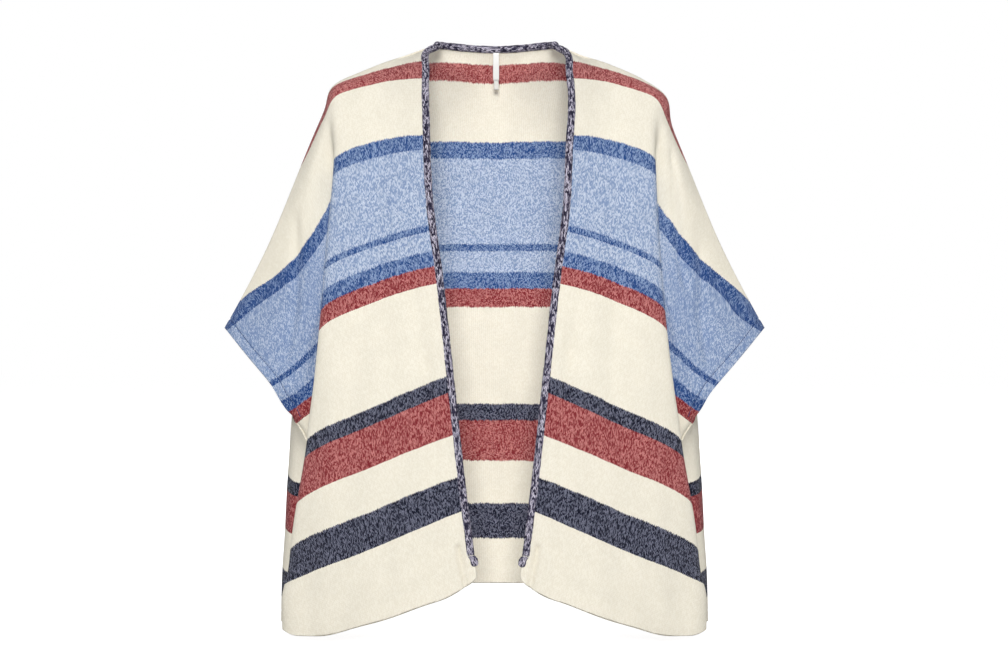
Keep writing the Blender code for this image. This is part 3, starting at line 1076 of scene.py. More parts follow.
# Each of a panel's two faces takes half of the bake map's square, with a margin and with steps for its rim.
HALF_SQUARE = (0.48, 0.98)
SQUARE_MARGIN = 0.01
RIM_STEP = 0.0016
ROLL_GAUGE = Gauge(wale=1.0, course=1.0, slant=1.0)


def add_object(name: str, data: bpy.types.ID) -> bpy.types.Object:
    """Puts an object with that data into the scene.

    Args:
        name: the object's name.
        data: its mesh, light or camera.

    Returns:
        The object.
    """
    made = bpy.data.objects.new(name, data)
    bpy.context.scene.collection.objects.link(made)
    return made


def make_piece(name: str, points: np.ndarray, faces: Sequence[Sequence[int]], replaces: Sequence[str]) -> bpy.types.Object:
    """Makes a piece that rides on the sweater's one body.

    Args:
        name: the piece's name.
        points: its vertices, in the row frame.
        faces: its faces, as vertex numbers.
        replaces: the solids that it stands for.

    Returns:
        The new object, shaded smooth.
    """
    mesh = bpy.data.meshes.new(name)
    mesh.from_pydata(np.asarray(points).tolist(), [], faces if isinstance(faces, list) else faces.tolist())
    mesh.shade_smooth()
    made = add_object(name, mesh)
    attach(made, "root")
    if replaces:
        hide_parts(*replaces)
    return made


def add_map(mesh: bpy.types.Mesh, name: str, places: np.ndarray) -> None:
    """Gives a mesh a map that holds one place for each vertex.

    Args:
        mesh: the mesh.
        name: the map's name.
        places: a place for each vertex.
    """
    loops = np.empty(len(mesh.loops), np.int32)
    mesh.loops.foreach_get("vertex_index", loops)
    add_loop_map(mesh, name, places[loops])


def add_loop_map(mesh: bpy.types.Mesh, name: str, places: np.ndarray) -> None:
    """Gives a mesh a map that holds one place for each corner of each face."""
    layer = mesh.uv_layers.new(name=name)
    layer.uv.foreach_set("vector", np.ascontiguousarray(places, np.float32).ravel())


def cells(index: np.ndarray) -> np.ndarray:
    """The four-sided faces of a grid of vertex numbers."""
    corners = [index[:-1, :-1], index[:-1, 1:], index[1:, 1:], index[1:, :-1]]
    return np.stack(corners, axis=-1).reshape(-1, 4)


def border(rows: int, columns: int) -> tuple[np.ndarray, np.ndarray]:
    """The points round a grid's edge, in order.

    Args:
        rows: how many rows the grid has.
        columns: how many columns.

    Returns:
        The points' rows, and their columns.
    """
    around = [(0, column) for column in range(columns - 1)]
    around += [(row, columns - 1) for row in range(rows - 1)]
    around += [(rows - 1, column) for column in range(columns - 1, 0, -1)]
    around += [(row, 0) for row in range(rows - 1, 0, -1)]
    pairs = np.array(around)
    return pairs[:, 0], pairs[:, 1]


@dataclass
class Sewing:
    """How a panel's cuffs and hem are turned and sewn."""

    cuff: float = 0.0122
    cuff_lift: float = 0.0004
    cuff_fade: float = 0.001
    cuff_step: float = 0.0006
    cuff_extra: float = 0.0014
    cuff_groove: float = 0.0012
    cuff_groove_width: float = 0.0011
    hem: float = 0.021
    hem_extra: float = 0.0009
    hem_step: float = 0.001
    hem_groove: float = 0.0004
    hem_groove_width: float = 0.0018


@dataclass
class ClothPanel:
    """A panel of knitting: a thin closed shell on a grid of points, with rounded edges."""

    name: str
    node: str
    grid: np.ndarray
    normals: np.ndarray
    across: np.ndarray
    creases: Sequence[Crease]
    sags: Sequence[Sag]
    lines: np.ndarray
    cuffs: Sequence[int]
    flat: tuple[float, float]
    area: float
    side_row: int = SIDE_ROW
    sewing: Sewing = field(default_factory=Sewing)
    wall: float = 0.0023
    edge_steps: int = 4
    smooth_below_seam: float = 0.045
    outer: np.ndarray = field(init=False)

    def add_creases(self) -> None:
        """Moves the cloth along its normals, in troughs and ridges that fade out at their ends."""
        drop = self.grid[:, :, 3]
        moved = np.zeros_like(drop)
        for crease in self.creases:
            ends = np.array([self.place_of(*crease.start), self.place_of(*crease.end)])
            along = ends[1] - ends[0]
            offset = np.stack([self.across, drop], axis=-1) - ends[0]
            share = (offset @ along) / (along @ along)
            nearest = np.clip(share, 0, 1)[..., None] * along
            gap = ((offset - nearest) ** 2).sum(axis=-1)
            moved += crease.depth * np.exp(-gap / crease.width**2)
        moved *= fade(drop - drop[:1], 0, self.smooth_below_seam)
        self.grid[:, :, :3] += self.normals * moved[..., None]
        sums = normal_sums(self.grid)
        bent = unit(sums * np.sign((self.normals * sums).sum(axis=-1, keepdims=True)))
        self.normals[1:-1, 1:-1] = bent[1:-1, 1:-1]
        self.normals[-1] = bent[-1]

    def place_of(self, line: float, drop: float) -> tuple[float, float]:
        """A place on the cloth in metres.

        Args:
            line: how many lines out it is.
            drop: how far down it is.

        Returns:
            Metres of cloth across and down.
        """
        column = np.interp(line, self.lines, np.arange(len(self.lines)))
        low = int(column)
        high = min(low + 1, self.across.shape[1] - 1)
        share = column - low
        row = int(np.abs(self.grid[:, low, 3] - drop).argmin())
        return self.across[row, low] * (1 - share) + self.across[row, high] * share, drop

    def cuff_distance(self) -> np.ndarray:
        """How far each point is from the nearest open cuff edge along its row.

        Returns:
            One distance for each point, and 1 m where there is no cuff in its row.
        """
        nearest = np.full(self.across.shape, 1.0)
        for column in self.cuffs:
            nearest = np.minimum(nearest, np.abs(self.across - self.across[:, column][:, None]))
        return np.where(np.arange(len(nearest))[:, None] <= self.side_row, nearest, 1.0)

    def surfaces(self) -> tuple[np.ndarray, np.ndarray, np.ndarray]:
        """The shell's two faces.

        Returns:
            The outer points, the inner points, and the way out of the panel at its edges.
        """
        half, sewn = self.wall / 2, self.sewing
        cuff = self.cuff_distance()
        hem = self.grid[-1:, :, 3] - self.grid[:, :, 3]
        lifted = -sewn.cuff_groove * np.exp(-(((cuff - sewn.cuff) / sewn.cuff_groove_width) ** 2))
        lifted += sewn.cuff_lift * (1 - fade(cuff, sewn.cuff - sewn.cuff_fade, sewn.cuff))
        lifted -= sewn.hem_groove * np.exp(-(((hem - sewn.hem) / sewn.hem_groove_width) ** 2))
        thicker = sewn.cuff_extra * (1 - fade(cuff, sewn.cuff - sewn.cuff_step, sewn.cuff + sewn.cuff_step))
        thicker += sewn.hem_extra * (1 - fade(hem, sewn.hem - sewn.hem_step, sewn.hem + sewn.hem_step))
        places = self.grid[:, :, :3].copy()
        outward = self.outward(places)
        inside = slice(1, -1)
        for rim in ((0, slice(None)), (-1, slice(None)), (inside, 0), (inside, -1)):
            places[rim] -= outward[rim] * half
        outer = places + self.normals * (half + lifted)[..., None]
        inner = places - self.normals * (half + thicker)[..., None]
        return outer, inner, outward

    def build(self) -> bpy.types.Object:
        """Builds the panel's shell and dresses it.

        Returns:
            The panel.
        """
        self.add_creases()
        outer, inner, outward = self.surfaces()
        self.outer = outer
        loop = border(*self.grid.shape[:2])
        rings = []
        for step in range(1, self.edge_steps):
            turn = math.pi * step / self.edge_steps
            middle, reach = (outer[loop] + inner[loop]) / 2, (outer[loop] - inner[loop]) / 2
            rings.append(middle + reach * math.cos(turn) + outward[loop] * (self.wall / 2) * math.sin(turn))
        points = np.concatenate([outer.reshape(-1, 3), inner.reshape(-1, 3)] + rings)
        faces, size = self.faces(loop, len(rings))
        made = make_piece(self.name, points, faces, [self.node])
        self.map_cloth(made, loop, len(rings), faces)
        made.data.materials.append(KNIT_FINISH[Face.KNIT])
        made.data.materials.append(KNIT_FINISH[Face.PURL])
        which = np.zeros(len(faces), np.int32)
        which[size : 2 * size] = 1
        made.data.polygons.foreach_set("material_index", which)
        width, length = self.flat
        LOG.info("%s: %d faces, %.2f x %.2f m flat", self.name, len(faces), width, length)
        return made

    def outward(self, places: np.ndarray) -> np.ndarray:
        """The way out of the panel in its own plane, at the points of its edge.

        Args:
            places: the panel's points.

        Returns:
            One vector for each point, of use at the edge only.
        """
        way = np.zeros_like(places)
        way[0] += unit(places[0] - places[1])
        way[-1] += unit(places[-1] - places[-2])
        way[:, 0] += unit(places[:, 0] - places[:, 1])
        way[:, -1] += unit(places[:, -1] - places[:, -2])
        way -= self.normals * (way * self.normals).sum(axis=-1, keepdims=True)
        return unit(way)

    def faces(self, loop: tuple[np.ndarray, np.ndarray], rings: int) -> tuple[np.ndarray, int]:
        """The shell's faces.

        Args:
            loop: the rows and columns of the edge's points.
            rings: how many rings of points lie round the rim.

        Returns:
            The faces, the outer ones first and the inner ones next, with how many of each there are.
        """
        rows, columns = self.grid.shape[:2]
        size = rows * columns
        index = np.arange(size).reshape(rows, columns)
        outer = cells(index)
        edge = index[loop]
        count = len(edge)
        around = [edge, *(2 * size + ring * count + np.arange(count) for ring in range(rings)), edge + size]
        rim = [np.stack([np.roll(near, -1), near, far, np.roll(far, -1)], axis=-1)
               for near, far in zip(around[:-1], around[1:])]
        every = np.concatenate([outer, outer[:, ::-1] + size] + rim)
        if float((normal_sums(self.grid) * self.normals).sum()) < 0:
            every = every[:, ::-1]
        return every, len(outer)

    def map_cloth(self, made: bpy.types.Object, loop: tuple[np.ndarray, np.ndarray], rings: int,
                  faces: np.ndarray) -> None:
        """Maps the shell in metres of cloth, and again into one square with the cloth's faces side by side.

        Args:
            made: the panel.
            loop: the rows and columns of the edge's points.
            rings: how many rings of points lie round the rim.
            faces: the shell's faces.
        """
        drop = self.grid[:, :, 3].copy()
        for sag in self.sags:
            lines = (self.lines[None, :] - sag.line) / sag.lines_reach
            drop += sag.amount * np.exp(-(lines**2) - ((self.grid[:, :, 3] - sag.drop) / sag.drop_reach) ** 2)
        flat = np.stack([self.across, drop], axis=-1)
        add_map(made.data, CLOTH_MAP, np.concatenate([flat.reshape(-1, 2)] * 2 + [flat[loop]] * rings))
        low = np.array([self.across.min(), self.grid[:, :, 3].min()])
        span = np.array([self.across.max(), self.grid[:, :, 3].max()]) - low
        whole = (np.stack([self.across, self.grid[:, :, 3]], axis=-1) - low) / span
        rows, columns = loop
        last_row, last_column = (count - 1 for count in self.grid.shape[:2])
        sideways = (columns == last_column) * 1.0 - (columns == 0)
        way = np.stack([sideways, (rows == last_row) * 1.0 - (rows == 0)], axis=-1)
        squeezed = whole * HALF_SQUARE + SQUARE_MARGIN
        edge = squeezed[loop]
        rims = [edge + way * RIM_STEP * step for step in range(1, rings + 2)]
        left = squeezed.reshape(-1, 2)
        count = len(left)
        square = np.concatenate([left, left + (0.5, 0.0), *rims[:-1]])[faces]
        outermost = np.full((2 * count, 2), np.nan)
        outermost[count + np.ravel_multi_index(loop, self.grid.shape[:2])] = rims[-1]
        last = slice(len(faces) - len(edge), None)
        corners = faces[last]
        inner = corners < len(outermost)
        square[last][inner] = outermost[corners[inner]]
        add_loop_map(made.data, BAKE_MAP, square.reshape(-1, 2))
        made.data.uv_layers[CLOTH_MAP].active_render = True


def front_lines() -> np.ndarray:
    """For each column of a front, how many lines out from the front edge it is."""
    return np.concatenate([[0.0]] + [i + stops for i, stops in enumerate(FINE.columns)])


def back_lines() -> np.ndarray:
    """For each column of the back, how many lines out from the centre it is, below 0 at -X."""
    right = np.concatenate([[0.0]] + [i + stops for i, stops in enumerate(HALF_BACK)])
    return np.concatenate([-right[:0:-1], right])


@dataclass
class Body:
    """The two fronts and the back, with the normals that they share at their seams."""

    front_flat: tuple[float, float] = (0.48, 0.76)
    front_area: float = 0.22
    back_flat: tuple[float, float] = (1.20, 0.72)
    back_area: float = 0.54
    edge_step: int = 6
    neck_step: int = 3
    corner: float = 0.0095
    corner_rows: int = 8
    edge_reach: float = 0.012
    bare_fade: tuple[float, float] = (0.004, 0.006)
    bare_proud: float = 0.0066
    under_roll: float = 0.0005
    panels: dict[Side, ClothPanel] = field(default_factory=dict)
    back_panel: ClothPanel = field(init=False)

    def __post_init__(self) -> None:
        """Works out the panels' grids and their shared normals."""
        self.grids = {side: settle(front_grid(side)) for side in Side}
        self.back = settle(back_grid())
        sums = {side: normal_sums(self.grids[side]) * -side.value for side in Side}
        back_sum = normal_sums(self.back)
        for side in Side:
            shoulder, cuff = self.shoulder(side), 0 if side is Side.LEFT else -1
            sums[side][0] += back_sum[0, shoulder]
            back_sum[0, shoulder] = sums[side][0]
            sums[side][SIDE_ROW:, -1] += back_sum[SIDE_ROW:, cuff]
            back_sum[SIDE_ROW:, cuff] = sums[side][SIDE_ROW:, -1]
        self.normals = {side: unit(sums[side]) for side in Side}
        self.back_normals = unit(back_sum)

    def shoulder(self, side: Side) -> slice:
        """The back's columns along a shoulder seam, from the neck point out to the cuff."""
        last = self.back.shape[1] - 1
        return slice(FRONT_STEPS, None, -1) if side is Side.LEFT else slice(last - FRONT_STEPS, None)

    def bound_edge(self) -> tuple[np.ndarray, np.ndarray, np.ndarray]:
        """The edge that the binding runs along, from one front's hem round the neck to the other's.

        Returns:
            Its points, the points a step into the cloth, and the cloth's normals there.
        """
        neck = slice(FRONT_STEPS + 1, self.back.shape[1] - FRONT_STEPS - 1)
        left, right = self.grids[Side.LEFT], self.grids[Side.RIGHT]
        stretches = [
            (left[::-1, 0], left[::-1, self.edge_step], self.normals[Side.LEFT][::-1, 0]),
            (self.back[0, neck], self.back[self.neck_step, neck], self.back_normals[0, neck]),
            (right[:, 0], right[:, self.edge_step], self.normals[Side.RIGHT][:, 0]),
        ]
        edge, inside, out = (np.concatenate([stretch[i] for stretch in stretches]) for i in range(3))
        return edge[:, :3], inside[:, :3], out

    def shaped_front(self, side: Side) -> np.ndarray:
        """A front's grid, with its edge under the roll, its bare end past the roll's and its hem corner
        rounded.

        Args:
            side: which of the two fronts.

        Returns:
            Its rows of points.
        """
        grid = self.grids[side].copy()
        across = row_lengths(grid)
        above_hem = grid[-1:, :, 3] - grid[:, :, 3]
        into = unit(grid[:, self.edge_step, :3] - grid[:, 0, :3])[:, None, :]
        bare = 1 - fade(above_hem[:, :1], FOOT - self.bare_fade[0], FOOT + self.bare_fade[1])
        near = 1 - fade(across, 0, self.edge_reach)
        move = near * (self.under_roll - (self.bare_proud + self.under_roll) * bare)
        grid[:, :, :3] += into * move[..., None]
        up = unit(grid[-self.corner_rows, 0, :3] - grid[-1, 0, :3])
        p = np.clip(1 - across / self.corner, 0, 1)
        q = np.clip(1 - above_hem / self.corner, 0, 1)
        in_by = self.corner * (p - p * np.sqrt(1 - q * q / 2))
        up_by = self.corner * (q - q * np.sqrt(1 - p * p / 2))
        grid[:, :, :3] += into * in_by[..., None] + up * up_by[..., None]
        return grid

    def thinned(self) -> tuple[np.ndarray, np.ndarray]:
        """The back's rows and columns that are kept: every second one, and all near the cuffs and the hem.

        Returns:
            The rows, and the columns.
        """
        rows, columns = self.back.shape[:2]
        hem, cuff = len(FINE.rows[-1]), len(FINE.columns[-1])
        row, column = np.arange(rows), np.arange(columns)
        return (row[(row % 2 == 0) | (row >= rows - 1 - hem)],
                column[(column % 2 == 0) | (column <= cuff) | (column >= columns - 1 - cuff)])

    def build(self) -> list[bpy.types.Object]:
        """Builds the three panels.

        Returns:
            The panels, the fronts first.
        """
        for side in Side:
            name = f"front_{side.name.lower()}"
            self.panels[side] = ClothPanel(
                name + "_cloth", name, self.shaped_front(side), self.normals[side].copy(),
                row_lengths(self.grids[side]), FRONT_CREASES[side], FRONT_SAGS[side], front_lines(), (-1,),
                self.front_flat, self.front_area,
            )
        across = row_lengths(self.back)
        across -= across[:, across.shape[1] // 2][:, None]
        rows, columns = self.thinned()
        kept = np.ix_(rows, columns)
        self.back_panel = ClothPanel(
            "back_cloth", "back", self.back[kept], self.back_normals[kept], across[kept], BACK_CREASES, (),
            back_lines()[columns], (0, -1), self.back_flat, self.back_area,
            int(np.searchsorted(rows, SIDE_ROW)),
        )
        return [panel.build() for panel in (*self.panels.values(), self.back_panel)]


@dataclass(frozen=True)
class Frames:
    """A line of places with, at each, the way into the cloth, the way out of it and the length so far."""

    middle: np.ndarray
    into: np.ndarray
    normal: np.ndarray
    lengths: np.ndarray


@dataclass
class KnittedRoll:
    """A closed tube of knitting along a line, raised along each leg of its stitches."""

    width: float = 0.0098
    depth: float = 0.0092
    wales: int = 8
    stitch: float = 0.0033
    sides: int = 40
    relief: float = 0.0008
    hump_power: float = 0.7
    hump_share: float = 0.55
    rib_share: float = 0.45
    level: float = 0.75
    tip_relief: float = 1.4

    def build(self, name: str, node: str, frames: Frames, sizes: np.ndarray, strips: int) -> bpy.types.Object:
        """Builds the roll.

        Args:
            name: the piece's name.
            node: the solid that it stands for.
            frames: the line that it follows.
            sizes: how wide it is at each place, as a share of the full width.
            strips: how many lengths its bake map is cut into.

        Returns:
            The roll.
        """
        turns = np.arange(self.sides) / self.sides
        rows, wales = frames.lengths / self.stitch, turns * self.wales
        spread = np.abs((wales % 1) * 2 - 1)
        phase = rows[:, None] + spread[None, :] * ROLL_GAUGE.slant
        raised = np.sin(np.pi * (phase % 1)) ** self.hump_power * self.hump_share
        raised = raised + np.sin(np.pi * spread)[None, :] * self.rib_share
        angle = 2 * np.pi * turns
        across = np.cos(angle)[None, :, None] * frames.into[:, None, :] * self.width / 2
        through = np.sin(angle)[None, :, None] * frames.normal[:, None, :] * self.depth / 2
        ring = (across + through) * sizes[:, None, None]
        bumps = (raised - self.level) * self.relief * np.minimum(1, self.tip_relief * sizes)[:, None]
        points = (frames.middle[:, None, :] + ring + unit(ring) * bumps[..., None]).reshape(-1, 3)
        faces, corners = self.faces(len(rows))
        if signed_volume(points, faces) < 0:
            faces, corners = [face[::-1] for face in faces], [corner[::-1] for corner in corners]
        made = make_piece(name, points, faces, [node])
        flat = [(wales_by, rows[row]) for corner in corners for row, wales_by in corner]
        add_loop_map(made.data, CLOTH_MAP, np.array([(w * self.wales / self.sides, r) for w, r in flat]))
        add_loop_map(made.data, BAKE_MAP, self.bake_places(corners, len(rows), strips))
        made.data.uv_layers[CLOTH_MAP].active_render = True
        made.data.materials.append(ROLL_FINISH)
        LOG.info("%s: %.2f m long, %d faces", name, frames.lengths[-1], len(faces))
        return made

    def faces(self, count: int) -> tuple[list[list[int]], list[list[tuple[int, int]]]]:
        """The tube's faces.

        Args:
            count: how many rings of points the tube has.

        Returns:
            The faces as vertex numbers, and each of their corners as how far along and round it is.
        """
        sides, faces, corners = self.sides, [], []
        for row in range(count - 1):
            for turn in range(sides):
                after = (turn + 1) % sides
                a, b = row * sides, (row + 1) * sides
                faces.append([a + turn, a + after, b + after, b + turn])
                corners.append([(row, turn), (row, turn + 1), (row + 1, turn + 1), (row + 1, turn)])
        faces.append(list(range(sides))[::-1])
        corners.append([(0, turn) for turn in range(sides)][::-1])
        faces.append([(count - 1) * sides + turn for turn in range(sides)])
        corners.append([(count - 1, turn) for turn in range(sides)])
        return faces, corners

    def bake_places(self, corners: list[list[tuple[int, int]]], count: int, strips: int) -> np.ndarray:
        """Places in one square: the tube is opened flat, cut into equal lengths and stacked.

        Args:
            corners: how far along and round each corner of each face is.
            count: how many rings of points the tube has.
            strips: how many lengths the tube is cut into.

        Returns:
            A place for each corner.
        """
        margin, length, gap, height, cap = 0.01, 0.98, 0.04, 0.86, 0.01
        each = math.ceil((count - 1) / strips)
        places = []
        for corner in corners[:-2]:
            first = min(row for row, _ in corner)
            strip = first // each
            places += [(margin + length * (row - strip * each) / each,
                        (strip + gap + height * turn / self.sides) / strips) for row, turn in corner]
        for end, corner in enumerate(corners[-2:]):
            places += [(0.3 + 0.4 * end + cap * math.cos(2 * math.pi * turn / self.sides),
                        (strips - 0.05 + 2 * cap * math.sin(2 * math.pi * turn / self.sides)) / strips)
                       for _, turn in corner]
        return np.array(places)


@dataclass
class Binding:
    """The knitted roll along both front edges and round the back neck, and its two turned ends."""

    pitch: float = 0.00098
    shift: float = 0.0014
    end_length: float = 0.0158
    end_turn: float = 0.0034
    end_turned: float = 0.62
    end_gap: float = 0.0005
    end_rings: int = 34
    end_steps: int = 6
    end_swell: float = 0.03
    tip_start: float = 0.66
    tip_power: float = 2.4
    tip_least: float = 0.004
    tie: float = 0.10
    tie_depth: float = 0.10
    tie_reach: float = 0.06
    swells: tuple[tuple[float, float], ...] = ((0.03, 160), (0.02, 411))
    strips: int = 12
    end_strips: int = 2
    wrap_steps: int = 80
    wrap_sides: int = 8
    wrap_turns: float = 1.2
    wrap_thick: float = 0.00030
    wrap_reach: float = 0.455
    wrap_rise: float = 0.0016
    roll: KnittedRoll = field(default_factory=KnittedRoll)

    def frames(self, body: Body) -> Frames:
        """The roll's line, evenly stepped.

        Args:
            body: the panels.

        Returns:
            The line, with FOOT left bare at both ends.
        """
        edge, inside, out = body.bound_edge()
        lengths = lengths_along(edge)
        start, end = FOOT, lengths[-1] - FOOT
        stops = np.linspace(start, end, int((end - start) / self.pitch))
        middle, inside, out = (smoothed(places_at(stops, lengths, part)) for part in (edge, inside, out))
        along = unit(np.gradient(middle, axis=0))
        into = inside - middle
        into = unit(into - (into * along).sum(axis=1, keepdims=True) * along)
        normal = unit(np.cross(along, into))
        normal *= np.sign((normal * out).sum(axis=1, keepdims=True))
        return Frames(middle - into * self.shift, into, normal, stops - start)

    def build(self, body: Body) -> list[bpy.types.Object]:
        """Builds the roll, its ends and the thread that ties each of them.

        Args:
            body: the panels.

        Returns:
            The roll, and each end with its thread.
        """
        frames = self.frames(body)
        sizes = np.ones(len(frames.lengths))
        for amount, rate in self.swells:
            sizes += amount * np.sin(frames.lengths * rate)
        made = [self.roll.build("binding_roll", "binding", frames, sizes, self.strips)]
        for side, at, beside in ((Side.LEFT, 0, self.end_steps), (Side.RIGHT, -1, -1 - self.end_steps)):
            down = unit(frames.middle[at] - frames.middle[beside])
            made += self.build_end(side, frames.middle[at], down, frames.into[at], frames.normal[at])
        return made

    def build_end(self, side: Side, foot: np.ndarray, down: np.ndarray, into: np.ndarray,
                  normal: np.ndarray) -> list[bpy.types.Object]:
        """The roll's end: tied, turned a little towards the opening and closed in a round tip.

        Args:
            side: which end.
            foot: the end of the roll's line.
            down: the way on along it.
            into: the way into the cloth.
            normal: the way out of the cloth.

        Returns:
            The end and its thread.
        """
        share = np.linspace(0, 1, self.end_rings)
        lean = self.end_turn * np.sin(np.pi / 2 * fade(share, 0, self.end_turned))
        middle = foot + down * (share * self.end_length + self.end_gap)[:, None] - into * lean[:, None]
        rounded = np.clip((share - self.tip_start) / (1 - self.tip_start), 0, 1) ** self.tip_power
        tip = np.sqrt(np.clip(1 - rounded, self.tip_least, 1))
        tied = 1 - self.tie_depth * np.exp(-(((share - self.tie) / self.tie_reach) ** 2))
        sizes = (1.0 + self.end_swell * fade(share, self.tie, 0.5)) * tip * tied
        count = len(share)
        ways = (np.tile(way, (count, 1)) for way in (into, normal))
        frames = Frames(middle, *ways, share * self.end_length)
        name = f"binding_end_{side.name.lower()}"
        end = self.roll.build(name + "_knit", name, frames, sizes, self.end_strips)
        wrap = self.build_wrap(f"end_wrap_{side.name.lower()}", middle[3], down, into, normal)
        return [end, wrap]

    def build_wrap(self, name: str, centre: np.ndarray, down: np.ndarray, into: np.ndarray,
                   normal: np.ndarray) -> bpy.types.Object:
        """A turn and a bit of cream thread round the roll's end.

        Args:
            name: the piece's name.
            centre: the middle of the roll's end.
            down: the way on along it.
            into: the way into the cloth.
            normal: the way out of the cloth.

        Returns:
            The thread.
        """
        angle = np.linspace(0, 2 * math.pi * self.wrap_turns, self.wrap_steps)
        reach_in, reach_out = self.roll.width * self.wrap_reach, self.roll.depth * self.wrap_reach
        line = centre + np.outer(np.cos(angle) * reach_in, into) + np.outer(np.sin(angle) * reach_out, normal)
        line += np.outer((angle / angle[-1] - 0.5) * self.wrap_rise, down)
        return build_cords(name, [line], self.wrap_thick, self.wrap_sides, WRAP_FINISH)


# A way that no cord runs along, and a cord's thickness at its two ends, as a share of the full one.
ASKEW = (0.31, 0.22, 0.93)
CORD_TIP = 0.35


def build_cords(name: str, lines: Sequence[np.ndarray], thick: float, sides: int, finish: bpy.types.Material) -> bpy.types.Object:
    """Builds round cords of one thickness along lines, joined into one piece.

    Args:
        name: the piece's name.
        lines: each cord's points.
        thick: half their thickness.
        sides: how many sides each has.
        finish: their material.

    Returns:
        The piece.
    """
    points, faces = [], []
    for line in lines:
        along = unit(np.gradient(line, axis=0))
        side_way = unit(np.cross(along, unit(np.array(ASKEW))))
        up_way = np.cross(along, side_way)
        taper = np.full(len(line), 1.0)
        taper[[0, -1]] = CORD_TIP
        first = sum(len(part) for part in points)
        for place, one, two, size in zip(line, side_way, up_way, taper):
            angle = 2 * np.pi * np.arange(sides) / sides
            ring = np.outer(np.cos(angle), one) + np.outer(np.sin(angle), two)
            points.append(place + ring * thick * size)
        for ring in range(len(line) - 1):
            a, b = first + ring * sides, first + (ring + 1) * sides
            faces += [[a + i, a + (i + 1) % sides, b + (i + 1) % sides, b + i] for i in range(sides)]
        faces.append(list(range(first, first + sides))[::-1])
        faces.append(list(range(first + (len(line) - 1) * sides, first + len(line) * sides)))
    every = np.concatenate(points)
    if signed_volume(every, faces) < 0:
        faces = [face[::-1] for face in faces]
    made = make_piece(name, every, faces, [])
    made.data.materials.append(finish)
    return made


@dataclass
class CuffStitching:
    """The row of stitches that holds a cuff's turned edge, in the groove beside it."""

    stitch: float = 0.0034
    gap: float = 0.0007
    thick: float = 0.00046
    proud: float = 0.00022
    sides: int = 6
    points: int = 7
    first_row: int = 2
    first_at: float = 0.001
    near_columns: int = 70

    def build(self, side: Side, body: Body) -> bpy.types.Object:
        """Builds one cuff's stitches, on its front and its back.

        Args:
            side: which cuff.
            body: the panels, already built.

        Returns:
            The stitches, as one piece.
        """
        lines = self.stitches(self.path(body.panels[side], -1))
        lines += self.stitches(self.path(body.back_panel, 0 if side is Side.LEFT else -1))
        name = f"cuff_stitches_{side.name.lower()}"
        return build_cords(name, lines, self.thick, self.sides, STITCH_FINISH)

    def path(self, panel: ClothPanel, column: int) -> np.ndarray:
        """The groove's line on a panel's outer face.

        Args:
            panel: a panel with that cuff.
            column: the cuff's column, the first or the last.

        Returns:
            Its points, from the shoulder seam to the underarm.
        """
        reach = np.abs(panel.across - panel.across[:, column][:, None])
        near = slice(None, -self.near_columns, -1) if column == -1 else slice(0, self.near_columns)
        path = []
        for row in range(self.first_row, panel.side_row):
            gaps, places, out = reach[row, near], panel.outer[row, near], panel.normals[row, near]
            place, way = (places_at(panel.sewing.cuff, gaps, part) for part in (places, out))
            path.append(place + unit(way) * self.proud)
        return np.array(path)

    def stitches(self, path: np.ndarray) -> list[np.ndarray]:
        """The path, cut into stitches.

        Args:
            path: the groove's line.

        Returns:
            Each stitch's points.
        """
        lengths = lengths_along(path)
        starts = np.arange(self.first_at, lengths[-1] - self.stitch, self.stitch + self.gap)
        shares = np.linspace(0, 1, self.points)
        return [places_at(start + shares * self.stitch, lengths, path) for start in starts]


@dataclass
class Tag:
    """A flat tag that hangs inside the back neck, curled a little."""

    name: str
    node: str
    width: float
    length: float
    thick: float
    curl: float
    top: Place
    finish: bpy.types.Material
    lean: float = 0.245
    columns: int = 10
    rows: int = 28
    side_power: int = 14
    end_power: int = 24
    least_thick: float = 0.02
    waver: float = 0.02

    def build(self) -> bpy.types.Object:
        """Builds the tag as a thin closed sheet with soft edges.

        Returns:
            The tag.
        """
        columns, rows = self.columns, self.rows
        u = np.linspace(-1, 1, columns + 1)[None, :] * np.ones(rows + 1)[:, None]
        v = np.linspace(0, 1, rows + 1)[:, None] * np.ones(columns + 1)[None, :]
        flat = 1 - np.maximum(np.abs(u) ** self.side_power, (2 * v - 1) ** self.end_power)
        soft = np.sqrt(np.clip(flat, self.least_thick, 1))
        x = u * self.width / 2 * (1 - self.waver * np.sin(v * 7))
        out = self.curl * (np.sin(v * math.pi * 1.2) * 0.7 + 0.35 * u * v)
        up = -v * self.length
        sheets = []
        for face in (-1, 1):
            back = -out + face * soft * self.thick / 2
            y = back * math.cos(self.lean) - up * math.sin(self.lean)
            z = back * math.sin(self.lean) + up * math.cos(self.lean)
            sheets.append(np.stack([x, y, z], axis=-1) + self.top)
        index = np.arange((rows + 1) * (columns + 1)).reshape(rows + 1, columns + 1)
        size = index.size
        front = np.roll(cells(index)[:, ::-1], 1, axis=1)
        edge = index[border(rows + 1, columns + 1)]
        rim = np.stack([edge, np.roll(edge, -1), np.roll(edge, -1) + size, edge + size], axis=-1)
        points = np.concatenate([sheet.reshape(-1, 3) for sheet in sheets])
        faces = np.concatenate([front, front[:, ::-1] + size, rim]).tolist()
        if signed_volume(points, faces) < 0:
            faces = [face[::-1] for face in faces]
        made = make_piece(self.name, points, faces, [self.node])
        made.data.materials.append(self.finish)
        return made


